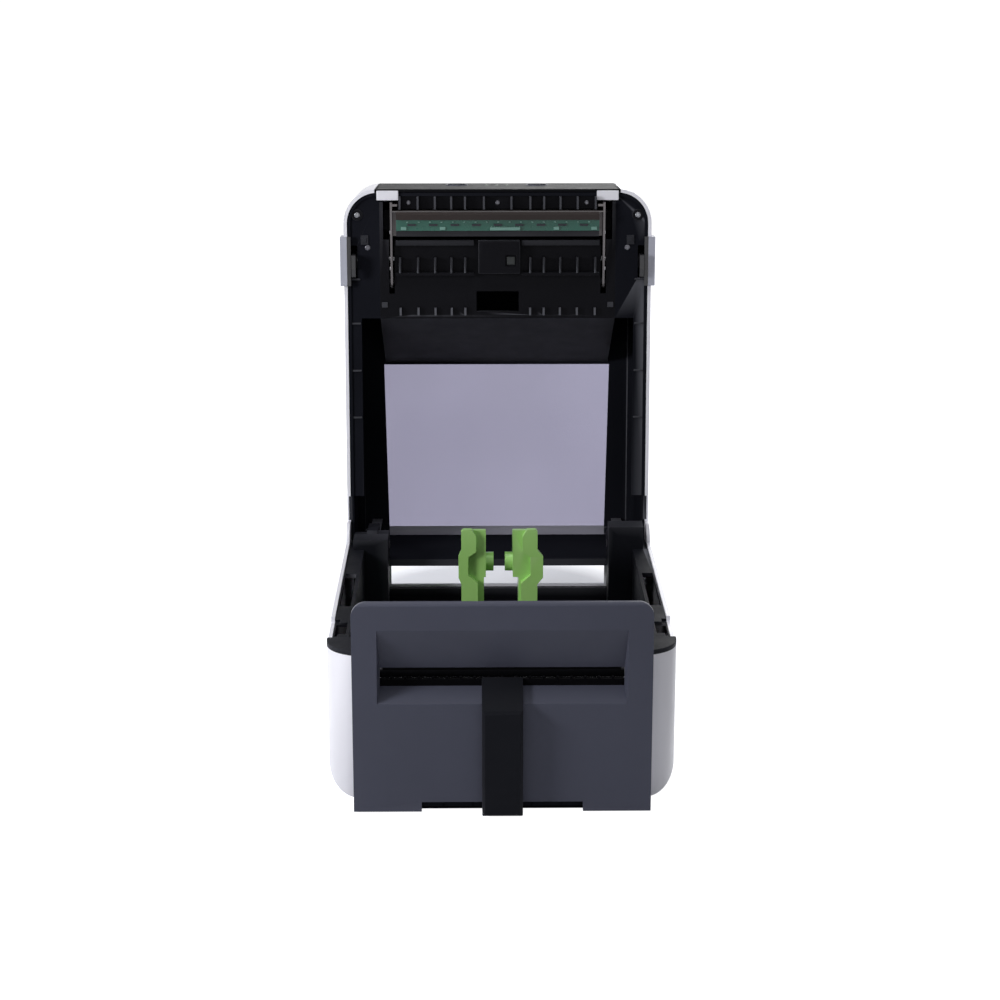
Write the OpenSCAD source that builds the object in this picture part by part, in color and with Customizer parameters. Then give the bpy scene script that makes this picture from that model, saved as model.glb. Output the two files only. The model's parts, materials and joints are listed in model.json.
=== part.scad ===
// Desktop label printer with a clip-on cutter unit, drawn with its lid open.
// Millimetres. X runs right, Y runs back and Z runs up; the origin lies on the
// table under the middle of the open printer's footprint.

/* [Casing] */
// Width of the printer body
body_w = 180; // [172:1:200]
// Depth of the printer body, without the cutter unit
body_d = 224; // [218:1:240]
// Height of the closed printer
body_h = 155; // [153:1:170]
// Height at which the lid parts from the base
split_z = 82; // [81:0.5:84]
// Wall of the white outer shells
skin = 2; // [1.8:0.1:3]
// Radius of the upright front corners
corner_front = 20; // [14:1:22]
// Radius of the upright rear corners
corner_rear = 12; // [6:1:12]
// Radius along the lower side edges
edge_low = 15; // [8:1:16]
// Radius along the upper side edges of the lid
edge_top = 11; // [6:1:14]
// Gap between the lid and the base when closed
seam = 0.5; // [0.3:0.1:1]
// Height of the rubber feet
foot_h = 2.5; // [2:0.5:4]
// Diameter of the rubber feet
foot_d = 16; // [10:1:20]
// Distance by which the footprint's middle lies behind the body's middle
origin_back = 26; // [20:1:30]

/* [Hinge] */
// Distance of the hinge axis from the rear face
hinge_in = 14; // [12:1:16]
// Height of the hinge axis
hinge_z = 78; // [76:0.5:79]
// Angle the lid stands open
open_angle = 93.7; // [88:0.1:95]
// Diameter of the steel hinge pins
hinge_pin_d = 5; // [3:0.5:6]
// Radius of the round ears on the lid's sides
ear_r = 13.5; // [10:0.5:14]
// Radius of the hinge barrels
barrel_r = 8; // [6:0.5:8.5]
// Running clearance of pins in their bores, on the radius
run_gap = 0.05; // [0.02:0.01:0.1]

/* [Roll bay] */
// Largest label roll
roll_d = 127; // [90:1:128]
// Room left around the largest roll
roll_room = 5.5; // [3:0.5:6]
// Distance of the roll's centre behind the body's middle
roll_back = 34; // [30:1:36]
// Height of the roll's centre
roll_z = 86; // [84:0.5:87]
// Room between the bay and the casing's side walls
bay_side = 9; // [8:0.5:14]
// Wall of the black inner mouldings
liner = 2; // [1.5:0.1:2.5]
// Distance from the casing's sides to the ends of the rear slot
slot_side = 25.5; // [24:0.5:35]
// Height of the rear slot's lower lip
slot_z = 48.8; // [48.4:0.2:52]

/* [Media guides] */
// Gap between the guides' inner faces at rest
guide_gap = 15.2; // [12:0.2:30]
// Room left between a guide and the bay's side at the end of its travel
guide_end = 7.6; // [6.6:0.2:17]
// Width of a guide across the roll's axis
guide_w = 32; // [24:1:40]
// Top of the guides
guide_top = 109; // [98:0.2:112]
// Diameter of the roll hubs
hub_d = 10.8; // [8:0.2:12.2]
// Length of the roll hubs
hub_len = 4.4; // [2:0.2:5]
// Module of the guide racks and their pinion
rack_m = 0.8; // [0.6:0.1:0.8]
// Teeth on the guide pinion
guide_teeth = 16; // [14:2:16]

/* [Platen and drive] */
// Diameter of the rubber platen
platen_d = 15; // [12:0.5:16]
// Length by which the rubber passes the print head at each end
platen_over = 2; // [-8:0.5:3]
// Diameter of the platen shaft
platen_shaft_d = 6; // [4:0.5:7]
// Distance of the platen axis behind the front face
platen_in = 16; // [14:0.5:17]
// Height of the platen axis
platen_z = 66; // [65:0.5:67]
// Module of the drive gears
drive_m = 0.6; // [0.5:0.05:0.6]
// Teeth on the platen gear and on the idler
drive_teeth = 36; // [28:1:36]
// Teeth on the motor pinion
pinion_teeth = 20; // [16:1:20]
// Width of the drive gears
gear_w = 4; // [3:0.5:4.5]
// Square side of the stepper motor
motor_side = 42; // [35:1:42]
// Length of the stepper motor
motor_len = 34; // [24:1:40]

/* [Cutter unit] */
// Distance from the casing's sides to the cutter cover's sides
cutter_side = 14.5; // [12:0.5:17]
// Top of the cutter cover
cutter_top = 112.5; // [110:0.5:116]
// Distance the cutter cover stands in front of the body
cutter_depth = 15; // [14.5:0.5:18]
// Wall of the cutter cover
cutter_wall = 2.2; // [1.8:0.1:2.6]
// Top of the funnel on the front face
funnel_top = 98; // [92:0.5:102]
// Bottom of the funnel on the front face
funnel_low = 59.2; // [56:0.2:61]
// Distance from the cutter cover's sides to the funnel
funnel_side = 12.5; // [10.5:0.5:16]
// Lower edge of the paper slot
slot_low = 65.5; // [64:0.5:67]
// Upper edge of the paper slot
slot_high = 75.2; // [74:0.2:77]
// Stroke of the moving blade
blade_stroke = 12; // [10:0.5:13]
// Width of the label tongue
tongue_w = 20.6; // [14:0.2:30]
// Distance the tongue stands proud of the cover
tongue_proud = 9; // [5:0.5:12]

/* [Lid] */
// Distance from the casing's sides to the window's front corners
window_side = 20; // [18:0.5:25]
// How much narrower the window is at its rear end
window_taper = 5; // [0:1:16]
// Distance of the window's front edge behind the body's middle
window_front = 0; // [-8:1:10]
// Distance from the casing's sides to the dark front panel
panel_side = 18.4; // [18:0.2:30]
// Distance from the front face to the head frame's rear edge
head_back = 75.5; // [72:0.5:80]
// Distance from the casing's sides to the print head
head_side = 31; // [30.5:0.5:34]
// Distance from the print head to its frame's sides
frame_side = 10; // [8:0.5:11]
// Distance the latches are pulled forward to free the lid
latch_travel = 4; // [3:0.5:5]
// Diameter of the two buttons
button_d = 11; // [7:0.5:14]
// Travel of the two buttons
button_travel = 0.8; // [0.5:0.1:1.2]

/* [Hidden] */
$fn = 48;
eps = 0.01;
gap = 0.3;

WHITE = [0.92, 0.92, 0.95];
BLACK = [0.10, 0.10, 0.12];
SLATE = [0.25, 0.26, 0.30];
LIME = [0.50, 0.71, 0.34];
STEEL = [0.72, 0.73, 0.75];
RUBBER = [0.13, 0.13, 0.13];

// Casing
front_y = -body_d / 2;
rear_y = body_d / 2;
half_w = body_w / 2;
in_half = half_w - skin;
roof_z = body_h - skin;
lid_low = split_z + seam;
floor_z = foot_h + skin;
cap_t = 2.5;
latch_y = front_y + 41.8;
latch_half = 14.3;
notch_gap = 0.6;
cap_len = latch_y - latch_half - latch_travel - notch_gap - 0.1 - front_y;
front_open = half_w - 19;

// Hinge
hinge_y = rear_y - hinge_in;
rear_wall_top = hinge_z - hinge_in - 2;
arm_x = in_half - 16.2;
arm_w = 6.4;
cheek_in = arm_x - 6.8;
cheek_out = arm_x + arm_w + 7;
tower_y = hinge_y - 22;
tower_back = hinge_y - 2;
tower_top_left = hinge_z + 8.5;
tower_top_right = hinge_z + 16;

// Roll bay
bay_half = in_half - bay_side;
slot_half_w = half_w - slot_side;
roll_y = roll_back;
bay_r = roll_d / 2 + roll_room;
bay_floor = 20;
deck_z = 69;
bay_front = roll_y - sqrt(pow(bay_r, 2) - pow(roll_z - deck_z, 2));
shelf_z = slot_z - 8.8;
bay_rear = roll_y + sqrt(pow(bay_r, 2) - pow(roll_z - shelf_z, 2));

// Guide racks
guide_pitch_r = rack_m * guide_teeth / 2;
rack_back = 2.2;
rack_z = [bay_floor - liner - 0.5 - 4.2, bay_floor - liner - 0.5];
tray_z = rack_z[0] - gap;
tray_half = guide_pitch_r + 1.25 * rack_m + rack_back + gap;
grip_x = guide_gap / 2 + 13.8;
guide_travel = bay_half - grip_x - guide_end;
guide_t = 3;
rack_reach = guide_travel + 6;
grip_bulge = 1.6;

// Platen and drive
head_w = 2 * (half_w - head_side);
platen_y = front_y + platen_in;
platen_r = platen_d / 2;
platen_len = head_w + 2 * platen_over;
cheek_x = head_w / 2 + 6;
cheek_t = 3;
bushing_r = 5.5;
gear_x = cheek_x + cheek_t + 2.5;
drive_r = drive_m * drive_teeth / 2;
pinion_r = drive_m * pinion_teeth / 2;
idler_dir = -45;
motor_dir = -50;
idler_y = platen_y + 2 * drive_r * cos(idler_dir);
idler_z = platen_z + 2 * drive_r * sin(idler_dir);
motor_y = idler_y + (drive_r + pinion_r) * cos(motor_dir);
motor_z = idler_z + (drive_r + pinion_r) * sin(motor_dir);
axle_d = 4;

// Cutter unit
cutter_y = front_y - cutter_depth;
cutter_back = front_y - 0.6;
cutter_half = half_w - cutter_side;
cutter_low = 1.2;
cutter_corner = 7.5;
funnel_w = 2 * (cutter_half - funnel_side);
recess_w = 82;
recess_h = 5.2;
slot_y = cutter_y + 9.8;
slot_half = funnel_w / 2 - 1.3;
plate_t = 1.2;
plate_y = cutter_back - plate_t;
blade_t = 1;
blade_y = plate_y - 0.1 - blade_t;
blade_window = funnel_w / 2;
fin_t = 3;
fin_h = 6.5;
carrier_half = cutter_half - 4.5;
edge_z = slot_low + 3.5;
pinion_m = 0.5;
cutter_teeth = 12;
cutter_pinion_r = pinion_m * cutter_teeth / 2;
cutter_rack_x = [carrier_half - 5, carrier_half - 1];
cutter_pitch_y = blade_y - 2;
cutter_pinion_y = cutter_pitch_y - cutter_pinion_r;
cutter_pinion_z = 26;

// Lid
panel_half = half_w - panel_side;
head_half = head_w / 2 + frame_side;
head_z = platen_z + platen_r + 0.05;
head_front = front_y + 7.4;
head_rear = front_y + head_back;
guide_z = lid_low + 1.5;
pivot_y = front_y + 54;
pivot_z = guide_z + 2;
bracket_x = head_w / 2 + 2.4;
bracket_t = 1.2;
bracket_top = guide_z + 4;
window_w = 2 * (half_w - window_side);
window_rear = rear_y - 4;
window_low = body_h - edge_top - 2;
head_lip = front_y + 12.2;
head_lip_t = 0.6;
head_strip_back = front_y + 17.2;
apron_z = hinge_z + 1;
rim_front = hinge_y - 28;
latch_z = lid_low + 13;
lip_x = half_w - 4.2;
lip_z = [split_z - 2.2, split_z + 0.2];
button_x = 24;
button_z = body_h - 31;
button_board = 12;

// Base plate, ports and boards
plate_half = half_w - 17;
plate_in = 12;
plate_top = floor_z + 1.5;
port_half = half_w - 28;
board_half = port_half - 4;
port_z = [9, 44];
port_back = rear_y - skin - 1.5;
board_z = 10.4;
board_top = board_z + 1.6;
board_y = [rear_y - 46, rear_y - skin - 2];
port_mid = 18.5;
jack_x = 18 - board_half;
usb_x = [-18, -6];
lan_x = [14, 30];
foot_x = half_w - 28;
foot_y = rear_y - 26;

// Places that several pieces share
tower_low = floor_z + 8;
tower_cap = 14;
neck_x = [-20, -9];
rack_low_y = roll_y - guide_pitch_r - 1.25 * rack_m;
tray_len = bay_half - 3;
grip_z = 81;
deck_back = -36;
deck_front = platen_y + platen_r + 1.5;
sensor_y = deck_front + 14;
sensor_slot = cheek_x - 15;
motor_shaft_r = 2.5;
tongue_low = 2;
blade_half = funnel_w / 2 - 1;
blade_top = 94;
gearbox_x = [carrier_half - 14, carrier_half - 7];
gearbox_z = [14, 34];
cutter_rack_mid = 32;
latch_hub = 5;
shaft_r = 2;
hook_x = [half_w - 7.2, half_w - 4.8];
hook_z = split_z - 7.5;
panel_deep = 13;
panel_top_y = window_front - 1.6;
plate_front = front_y + 29.4;
spring_y = front_y + 19;
spring_top = bracket_top + 10;
cup_deep = 9;

// ---- Shared shapes ----

// Block from three [low, high] pairs
module span(x, y, z) {
  translate([x[0], y[0], z[0]]) cube([x[1] - x[0], y[1] - y[0], z[1] - z[0]]);
}

// Extrudes a (y, z) drawing along X
module along_x(x) {
  translate([x[0], 0, 0]) rotate([90, 0, 90]) linear_extrude(x[1] - x[0]) children();
}

// Extrudes an (x, z) drawing along Y
module along_y(y) {
  translate([0, y[1], 0]) rotate([90, 0, 0]) linear_extrude(y[1] - y[0]) children();
}

module rod_x(y, z, r, x) {
  translate([x[0], y, z]) rotate([0, 90, 0]) cylinder(r = r, h = x[1] - x[0]);
}

module rod_y(x, z, r, y) {
  translate([x, y[0], z]) rotate([-90, 0, 0]) cylinder(r = r, h = y[1] - y[0]);
}

module both_sides() {
  children();
  mirror([1, 0, 0]) children();
}

// Moves the body's middle to its place behind the origin
module placed() {
  translate([0, -origin_back, 0]) children();
}

// Swings a lid piece, drawn closed, to where the open lid holds it
module open_lid() {
  placed() translate([0, hinge_y, hinge_z]) rotate([-open_angle, 0, 0])
    translate([0, -hinge_y, -hinge_z]) children();
}

// Plan outline of the casing, drawn in from the outside by inset
module plan(inset = 0) {
  w = half_w - inset;
  rf = corner_front - inset;
  rr = corner_rear - inset;
  f = front_y + inset;
  r = rear_y - inset;
  translate([-w, f + rf]) square([2 * w, r - rr - f - rf]);
  translate([rf - w, f]) square([2 * (w - rf), rf + 1]);
  translate([rr - w, r - rr - 1]) square([2 * (w - rr), rr + 1]);
  for (s = [-1, 1]) {
    translate([s * (w - rf), f + rf]) circle(r = rf);
    translate([s * (w - rr), r - rr]) circle(r = rr);
  }
}

// Front outline of the base, round along its lower edges
module base_outline(inset = 0) {
  w = half_w - inset;
  r = edge_low - inset;
  z = foot_h + inset;
  translate([-w, z + r]) square([2 * w, split_z - z - r + inset]);
  translate([r - w, z]) square([2 * (w - r), r + 1]);
  for (s = [-1, 1]) translate([s * (w - r), z + r]) circle(r = r);
}

// Front outline of the lid, round along its upper edges
module lid_outline(inset = 0) {
  w = half_w - inset;
  r = edge_top - inset;
  z = body_h - inset;
  translate([-w, lid_low - inset]) square([2 * w, z - r - lid_low + inset]);
  translate([r - w, z - r - 1]) square([2 * (w - r), r + 1]);
  for (s = [-1, 1]) translate([s * (w - r), z - r]) circle(r = r);
}

// Side outline of the lid, round at its front and rear upper edges
module lid_side(inset = 0) {
  f = front_y + inset;
  r = rear_y - inset;
  rad = edge_top - inset;
  z = body_h - inset;
  translate([f, lid_low - inset]) square([r - f, z - rad - lid_low + inset]);
  translate([f + rad, z - rad - 1]) square([r - f - 2 * rad, rad + 1]);
  for (y = [f + rad, r - rad]) translate([y, z - rad]) circle(r = rad);
}

module base_solid(inset = 0) {
  intersection() {
    translate([0, 0, foot_h + inset]) linear_extrude(split_z - foot_h) plan(inset);
    along_y([front_y, rear_y]) base_outline(inset);
  }
}

module lid_solid(inset = 0) {
  intersection() {
    translate([0, 0, lid_low - inset]) linear_extrude(body_h - lid_low) plan(inset);
    along_y([front_y, rear_y]) lid_outline(inset);
    along_x([-half_w, half_w]) lid_side(inset);
  }
}

// Window's plan, wider at the front by window_taper
module window_plan(grow = 0) {
  front = window_w / 2 + grow;
  back = front - window_taper / 2;
  polygon([[-front, window_front - grow], [front, window_front - grow],
    [back, rear_y], [-back, rear_y]]);
}

// Involute gear outline with a tooth centred on the angle 0
function roll_angle(a) = tan(a) * 180 / PI - a;
function half_tooth(r, teeth, m) =
  let (rb = m * teeth / 2 * cos(20))
  90 / teeth - 2.2 / teeth + roll_angle(20) - roll_angle(acos(rb / max(r, rb)));
function gear_points(teeth, m) =
  let (rp = m * teeth / 2, rb = rp * cos(20), radii = [rp - 1.25 * m,
    max(rb, rp - 1.1 * m), rp - 0.3 * m, rp + 0.4 * m, rp + m])
  [for (i = [0:teeth - 1]) for (side = [-1, 1]) for (k = [0:4])
    let (r = radii[side < 0 ? k : 4 - k],
      a = 360 * i / teeth + side * half_tooth(r, teeth, m))
    [r * cos(a), r * sin(a)]];

// Phase of gear b that meshes with gear a, which lies at the angle dir from it
function mesh_phase(dir, phase_a, teeth_a, teeth_b) =
  dir + 180 + ((dir - phase_a) * teeth_a - 180) / teeth_b;

module gear(teeth, m, width, bore, phase = 0) {
  rotate([0, 0, phase]) difference() {
    linear_extrude(width) polygon(gear_points(teeth, m));
    translate([0, 0, -1]) cylinder(r = bore, h = width + 2);
  }
}

// Rack along X with its teeth up and its pitch line on Y = 0
module rack_outline(count, m, back) {
  pitch = PI * m;
  half = pitch / 4 - 0.03;
  low = -1.25 * m;
  slope = tan(20);
  translate([-count * pitch / 2, low - back]) square([count * pitch, back]);
  for (i = [0:count - 1]) translate([(i + 0.5 - count / 2) * pitch, 0])
    polygon([[-half + low * slope, low - eps], [half - low * slope, low - eps],
      [half - m * slope, m], [-half + m * slope, m]]);
}

// Ribs along Y under or over a guide face, at the x places given
module ribs(places, y, z, width = 1.2) {
  for (x = places) span([x - width / 2, x + width / 2], y, z);
}

rib_out = head_w / 2 - 2;
rib_places = [-rib_out, -46.5, -36.5, -27, -19, 19, 27, 36.5, 46.5, rib_out];

// ---- Base ----

module base_shell() color(WHITE) placed() difference() {
  base_solid();
  base_solid(skin);
  // Opening behind the cutter unit, and the seats of the black corner caps
  span([-front_open, front_open], [front_y - 1, front_y + skin + 1], [floor_z + 4, split_z + 1]);
  both_sides() span([front_open - 1, half_w + 1], [front_y - 1, front_y + cap_len],
    [split_z - cap_t, split_z + 1]);
  // Room for the lid's rear wall and round ears as it swings
  span([-half_w - 1, half_w + 1], [hinge_y, rear_y + 1], [rear_wall_top, split_z + 4]);
  rod_x(hinge_y, hinge_z, ear_r + 0.5, [-half_w - 1, half_w + 1]);
  both_sides() latch_notch();
  // Rear slot, port opening and bottom opening
  span([-slot_half_w, slot_half_w], [rear_y - skin - 1, rear_y + 1], [slot_z, split_z + 1]);
  span([-port_half, port_half], [rear_y - skin - 1, rear_y + 1], port_z);
  span([-plate_half, plate_half], [front_y + plate_in, rear_y - plate_in], [foot_h - 1, floor_z + 1]);
}

// Room for a latch's lower lip and for its pull forward
module latch_notch() {
  span([lip_x - notch_gap, half_w + 1],
    [latch_y - latch_half - latch_travel - notch_gap, latch_y + latch_half + notch_gap],
    [lip_z[0] - notch_gap, split_z + 1]);
}

module bay_profile() {
  chord = sqrt(pow(bay_r, 2) - pow(roll_z - bay_floor, 2));
  difference() {
    intersection() {
      translate([roll_y, roll_z]) circle(r = bay_r + liner);
      translate([-bay_r, bay_floor - liner]) square([3 * bay_r, deck_z - bay_floor + liner]);
    }
    translate([roll_y, roll_z]) circle(r = bay_r);
    translate([roll_y, shelf_z]) square([2 * bay_r, bay_r]);
  }
  // Shelf and upright wall below the rear slot
  translate([bay_rear - 1, shelf_z - liner]) square([rear_y - skin - liner - bay_rear + 1, liner]);
  translate([rear_y - skin - 2 * liner, shelf_z - liner]) square([liner, slot_z - 1.3 - shelf_z + liner]);
  translate([rear_y - skin - 2 * liner, slot_z - 3.1]) square([2 * liner, 1.8]);
  translate([roll_y - chord - 3, bay_floor - liner]) square([2 * chord + 6, liner]);
}

module hinge_cheek(x, top, round_r) {
  along_x(x) {
    translate([tower_y, tower_low]) square([tower_back - tower_y, hinge_z - tower_low]);
    translate([tower_y, hinge_z - 1]) square([tower_cap, top - hinge_z + 1]);
    translate([hinge_y, hinge_z]) circle(r = round_r);
    translate([tower_y, hinge_z - round_r]) square([hinge_y - tower_y, 2 * round_r]);
  }
}

// Tower that carries one hinge pin between two cheeks
module tower(top) {
  difference() {
    union() {
      hinge_cheek([cheek_in, arm_x - gap], top, barrel_r);
      hinge_cheek([arm_x + arm_w + gap, cheek_out], top, barrel_r - 1);
      span([cheek_in, cheek_out], [tower_y, tower_y + liner], [tower_low, top]);
      span([cheek_in, cheek_out], [tower_y, tower_y + tower_cap], [top - liner, top]);
    }
    rod_x(hinge_y, hinge_z, hinge_pin_d / 2, [cheek_in - 1, cheek_out + 1]);
  }
}

module side_wall() {
  difference() {
    union() {
      span([bay_half, in_half], [front_y + cap_len, tower_y + 1], [split_z - 4, split_z - 1.5]);
      span([cheek_out, in_half - 0.3], [tower_y, hinge_y - 1], [split_z - 4, split_z - 1.5]);
      span([bay_half, bay_half + liner], [front_y + 8, tower_y + 1], [plate_top, split_z - 1.5]);
    }
    // Catch pocket for the latch hook, and the long pocket behind it
    for (y = [[latch_y - 9, latch_y + 10], [-32, 28]])
      span([bay_half + liner, in_half - 1], y, [split_z - 5, split_z]);
    latch_notch();
  }
}

// Slot in the bay floor for a guide's neck, on the front rack's side
module neck_slot() {
  span([neck_x[0] - guide_travel - gap, neck_x[1] + gap],
    [rack_low_y - rack_back - gap, rack_low_y + gap], [tray_z - 1, bay_floor + 1]);
}

module rack_tray() {
  low = tray_z - 1.5;
  difference() {
    span([-tray_len, tray_len], [roll_y - tray_half - 1.8, roll_y + tray_half + 1.8],
      [low, bay_floor - liner]);
    span([-tray_len - 1, tray_len + 1], [roll_y - tray_half, roll_y + tray_half],
      [tray_z, bay_floor - liner + eps]);
  }
  translate([0, roll_y, tray_z - eps]) cylinder(r = axle_d / 2, h = bay_floor - liner - tray_z + 2 * eps);
}

module base_frame() color(BLACK) placed() {
  both_sides() {
    intersection() {
      translate([0, 0, split_z - cap_t]) linear_extrude(cap_t) plan();
      span([front_open, half_w], [front_y, front_y + cap_len], [0, split_z]);
    }
    side_wall();
  }
  tower(tower_top_right);
  mirror([1, 0, 0]) tower(tower_top_left);
}

module roll_bay() color(BLACK) placed() {
  difference() {
    union() {
      along_x([-bay_half, bay_half]) bay_profile();
      rack_tray();
    }
    neck_slot();
    translate([0, 2 * roll_y, 0]) rotate([0, 0, 180]) neck_slot();
    both_sides() span([cheek_in, cheek_out], [tower_y, tower_back], [tower_low, split_z]);
  }
  // Ribs that carry the bay on the bottom plate
  for (k = [-1:1]) along_x([k * foot_x - 1, k * foot_x + 1]) difference() {
    translate([roll_y - 44, plate_top]) square([60, bay_floor + 10 - plate_top]);
    translate([roll_y, roll_z]) circle(r = bay_r + 1);
    translate([roll_y - tray_half - 1, tray_z - 1]) square([2 * tray_half + 2, 100]);
  }
}

module bottom_plate() color(BLACK) placed() {
  span([-plate_half + 0.3, plate_half - 0.3], [front_y + plate_in + 0.3, rear_y - plate_in - 0.3],
    [foot_h, floor_z + eps]);
  span([-plate_half - 2, plate_half + 2], [front_y + plate_in - 2, rear_y - plate_in + 2],
    [floor_z, plate_top]);
  for (x = [-1, 1] * (board_half - 8)) for (y = [board_y[0] + 5, board_y[1] - 8])
    translate([x, y, plate_top - eps]) cylinder(r = 3, h = board_z - plate_top + eps);
}

module feet() color(RUBBER) placed() for (x = [-1, 1]) for (y = [-1, 1])
  translate([x * foot_x, y * foot_y, 0]) rotate_extrude() polygon([[0, 0], [foot_d / 2 - 1, 0],
    [foot_d / 2, 1], [foot_d / 2, foot_h], [0, foot_h]]);

module rear_panel() color(BLACK) placed() difference() {
  union() {
    span([-port_half - 2, port_half + 2], [port_back, rear_y - skin], [port_z[0] - 1.5, port_z[1] + 1.5]);
    span([-port_half + 0.2, port_half - 0.2], [port_back, rear_y - 1], [port_z[0] + 0.2, port_z[1] - 0.2]);
  }
  rod_y(jack_x, port_mid, 5.2, [rear_y - 9, rear_y]);
  span(usb_x, [rear_y - 9, rear_y], [port_mid - 5.5, port_mid + 5.5]);
  span(lan_x, [rear_y - 9, rear_y], [port_mid - 6.5, port_mid + 7]);
}

module dc_jack() color(BLACK) placed() {
  difference() {
    union() {
      span([jack_x - 6, jack_x + 6], [port_back - 12, port_back], [board_top, port_mid + 6]);
      rod_y(jack_x, port_mid, 5.2, [port_back - 1, rear_y - 1]);
    }
    rod_y(jack_x, port_mid, 3.2, [rear_y - 11, rear_y]);
  }
  rod_y(jack_x, port_mid, 1, [rear_y - 12, rear_y - 3]);
}

// Metal socket open to the rear, with its inside box and its contact tongue
module socket(x, z, depth, tongue) {
  difference() {
    span(x, [port_back - depth, rear_y - 1], z);
    span([x[0] + 1, x[1] - 1], [port_back - depth + 3, rear_y], [z[0] + 1, z[1] - 1]);
  }
  span([x[0] + 3, x[1] - 3], [port_back - depth + 1, rear_y - 4], tongue);
}

module usb_port() color(STEEL) placed() {
  socket(usb_x, [port_mid - 5.5, port_mid + 5.5], 14, [port_mid - 1.5, port_mid + 1.5]);
  span(usb_x, [port_back - 14, port_back - 1], [board_top, port_mid - 5.5 + eps]);
}

module lan_port() color(STEEL) placed()
  socket(lan_x, [port_mid - 6.5, port_mid + 7], 18, [port_mid + 4, port_mid + 5.5]);

module main_board() color([0.10, 0.32, 0.20]) placed() {
  span([-board_half, board_half], board_y, [board_z, board_top]);
  for (x = [-22, 6]) span([x, x + 16], [board_y[0] + 6, board_y[0] + 20], [board_top, board_top + 1.6]);
  for (x = [34, 44]) translate([x, board_y[0] + 14, board_top]) cylinder(r = 4, h = 6);
}

module platen_cradle(side) {
  difference() {
    along_x([cheek_x, cheek_x + cheek_t]) {
      translate([front_y + 6, plate_top]) square([deck_back - front_y - 6, deck_z - plate_top]);
      translate([front_y + 6, deck_z - 1]) square([22, 4]);
    }
    rod_x(platen_y, platen_z, bushing_r, [cheek_x - 1, cheek_x + cheek_t + 1]);
    span([cheek_x - 1, cheek_x + cheek_t + 1], [platen_y - bushing_r, platen_y + bushing_r],
      [platen_z, deck_z + 5]);
    if (side < 0) rod_x(motor_y, motor_z, 11, [cheek_x - 1, cheek_x + cheek_t + 1]);
    if (side < 0) rod_x(idler_y, idler_z, axle_d / 2, [cheek_x - 1, cheek_x + cheek_t + 1]);
  }
}

module front_deck() color(BLACK) placed() {
  platen_cradle(1);
  mirror([1, 0, 0]) platen_cradle(-1);
  difference() {
    along_x([-cheek_x - eps, cheek_x + eps]) polygon([[deck_back, deck_z], [deck_front, deck_z],
      [deck_front, deck_z - 6], [deck_front + 2, deck_z - 6], [deck_front + 2, deck_z - 2.5],
      [deck_back, deck_z - 2.5]]);
    span([-sensor_slot, sensor_slot], [sensor_y - 3, sensor_y + 3], [deck_z - 5, deck_z + 1]);
  }
  ribs(rib_places, [sensor_y + 8, deck_back - 2], [deck_z - eps, deck_z + 1.3]);
  ribs(rib_places, [deck_front, sensor_y - 8], [deck_z - eps, deck_z + 1.3]);
  // Lip in front of the platen, which leads the label to the cutter
  lip_y = [front_y + 6.2, platen_y - platen_r - 0.6];
  along_x([-cheek_x - eps, cheek_x + eps]) polygon([[lip_y[0], deck_z - 5], [lip_y[0], deck_z + 1],
    [lip_y[1], deck_z - 1], [lip_y[1], deck_z - 5]]);
}

module platen_bushings() color([0.85, 0.85, 0.80]) placed() both_sides() difference() {
  union() {
    rod_x(platen_y, platen_z, bushing_r, [cheek_x, cheek_x + cheek_t]);
    rod_x(platen_y, platen_z, bushing_r + 1, [cheek_x - 1.2, cheek_x]);
  }
  rod_x(platen_y, platen_z, platen_shaft_d / 2 + run_gap, [cheek_x - 2, cheek_x + cheek_t + 1]);
}

module drive_motor() color(STEEL) placed() difference() {
  union() {
    along_x([-cheek_x, motor_len - cheek_x]) translate([motor_y, motor_z]) intersection() {
      square(motor_side, center = true);
      circle(r = motor_side * 0.63);
    }
    rod_x(motor_y, motor_z, 11, [-cheek_x - 2, -cheek_x + 1]);
  }
  rod_x(motor_y, motor_z, motor_shaft_r + run_gap, [-cheek_x - 3, 6 - cheek_x]);
}

module idler_axle() color(STEEL) placed() {
  rod_x(idler_y, idler_z, axle_d / 2, [-gear_x - gear_w - 1.5, -cheek_x]);
  rod_x(idler_y, idler_z, axle_d / 2 + 1.5, [-gear_x - gear_w - 2.5, -gear_x - gear_w - 0.3]);
}

module platen_roller() color(RUBBER) placed() difference() {
  rod_x(platen_y, platen_z, platen_r, [-platen_len / 2, platen_len / 2]);
  rod_x(platen_y, platen_z, platen_shaft_d / 2, [-platen_len, platen_len]);
}

module platen_shaft() color(STEEL) placed()
  rod_x(platen_y, platen_z, platen_shaft_d / 2, [-gear_x - gear_w - 1, cheek_x + cheek_t + 1]);

// Drive gear on the left end, at its place in the YZ plane
module drive_gear(y, z, teeth, bore, phase) {
  translate([-gear_x - gear_w, y, z]) rotate([90, 0, 90]) gear(teeth, drive_m, gear_w, bore, phase);
}

module platen_gear() color([0.9, 0.9, 0.86]) placed()
  drive_gear(platen_y, platen_z, drive_teeth, platen_shaft_d / 2, 0);

idler_phase = mesh_phase(idler_dir, 0, drive_teeth, drive_teeth);

module idler_gear() color([0.9, 0.9, 0.86]) placed()
  drive_gear(idler_y, idler_z, drive_teeth, axle_d / 2 + run_gap, idler_phase);

module motor_pinion() color(STEEL) placed() {
  drive_gear(motor_y, motor_z, pinion_teeth, motor_shaft_r - 0.5,
    mesh_phase(motor_dir, idler_phase, drive_teeth, pinion_teeth));
  rod_x(motor_y, motor_z, motor_shaft_r, [-gear_x - gear_w, 5 - cheek_x]);
}

// ---- Roll bay ----

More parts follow.
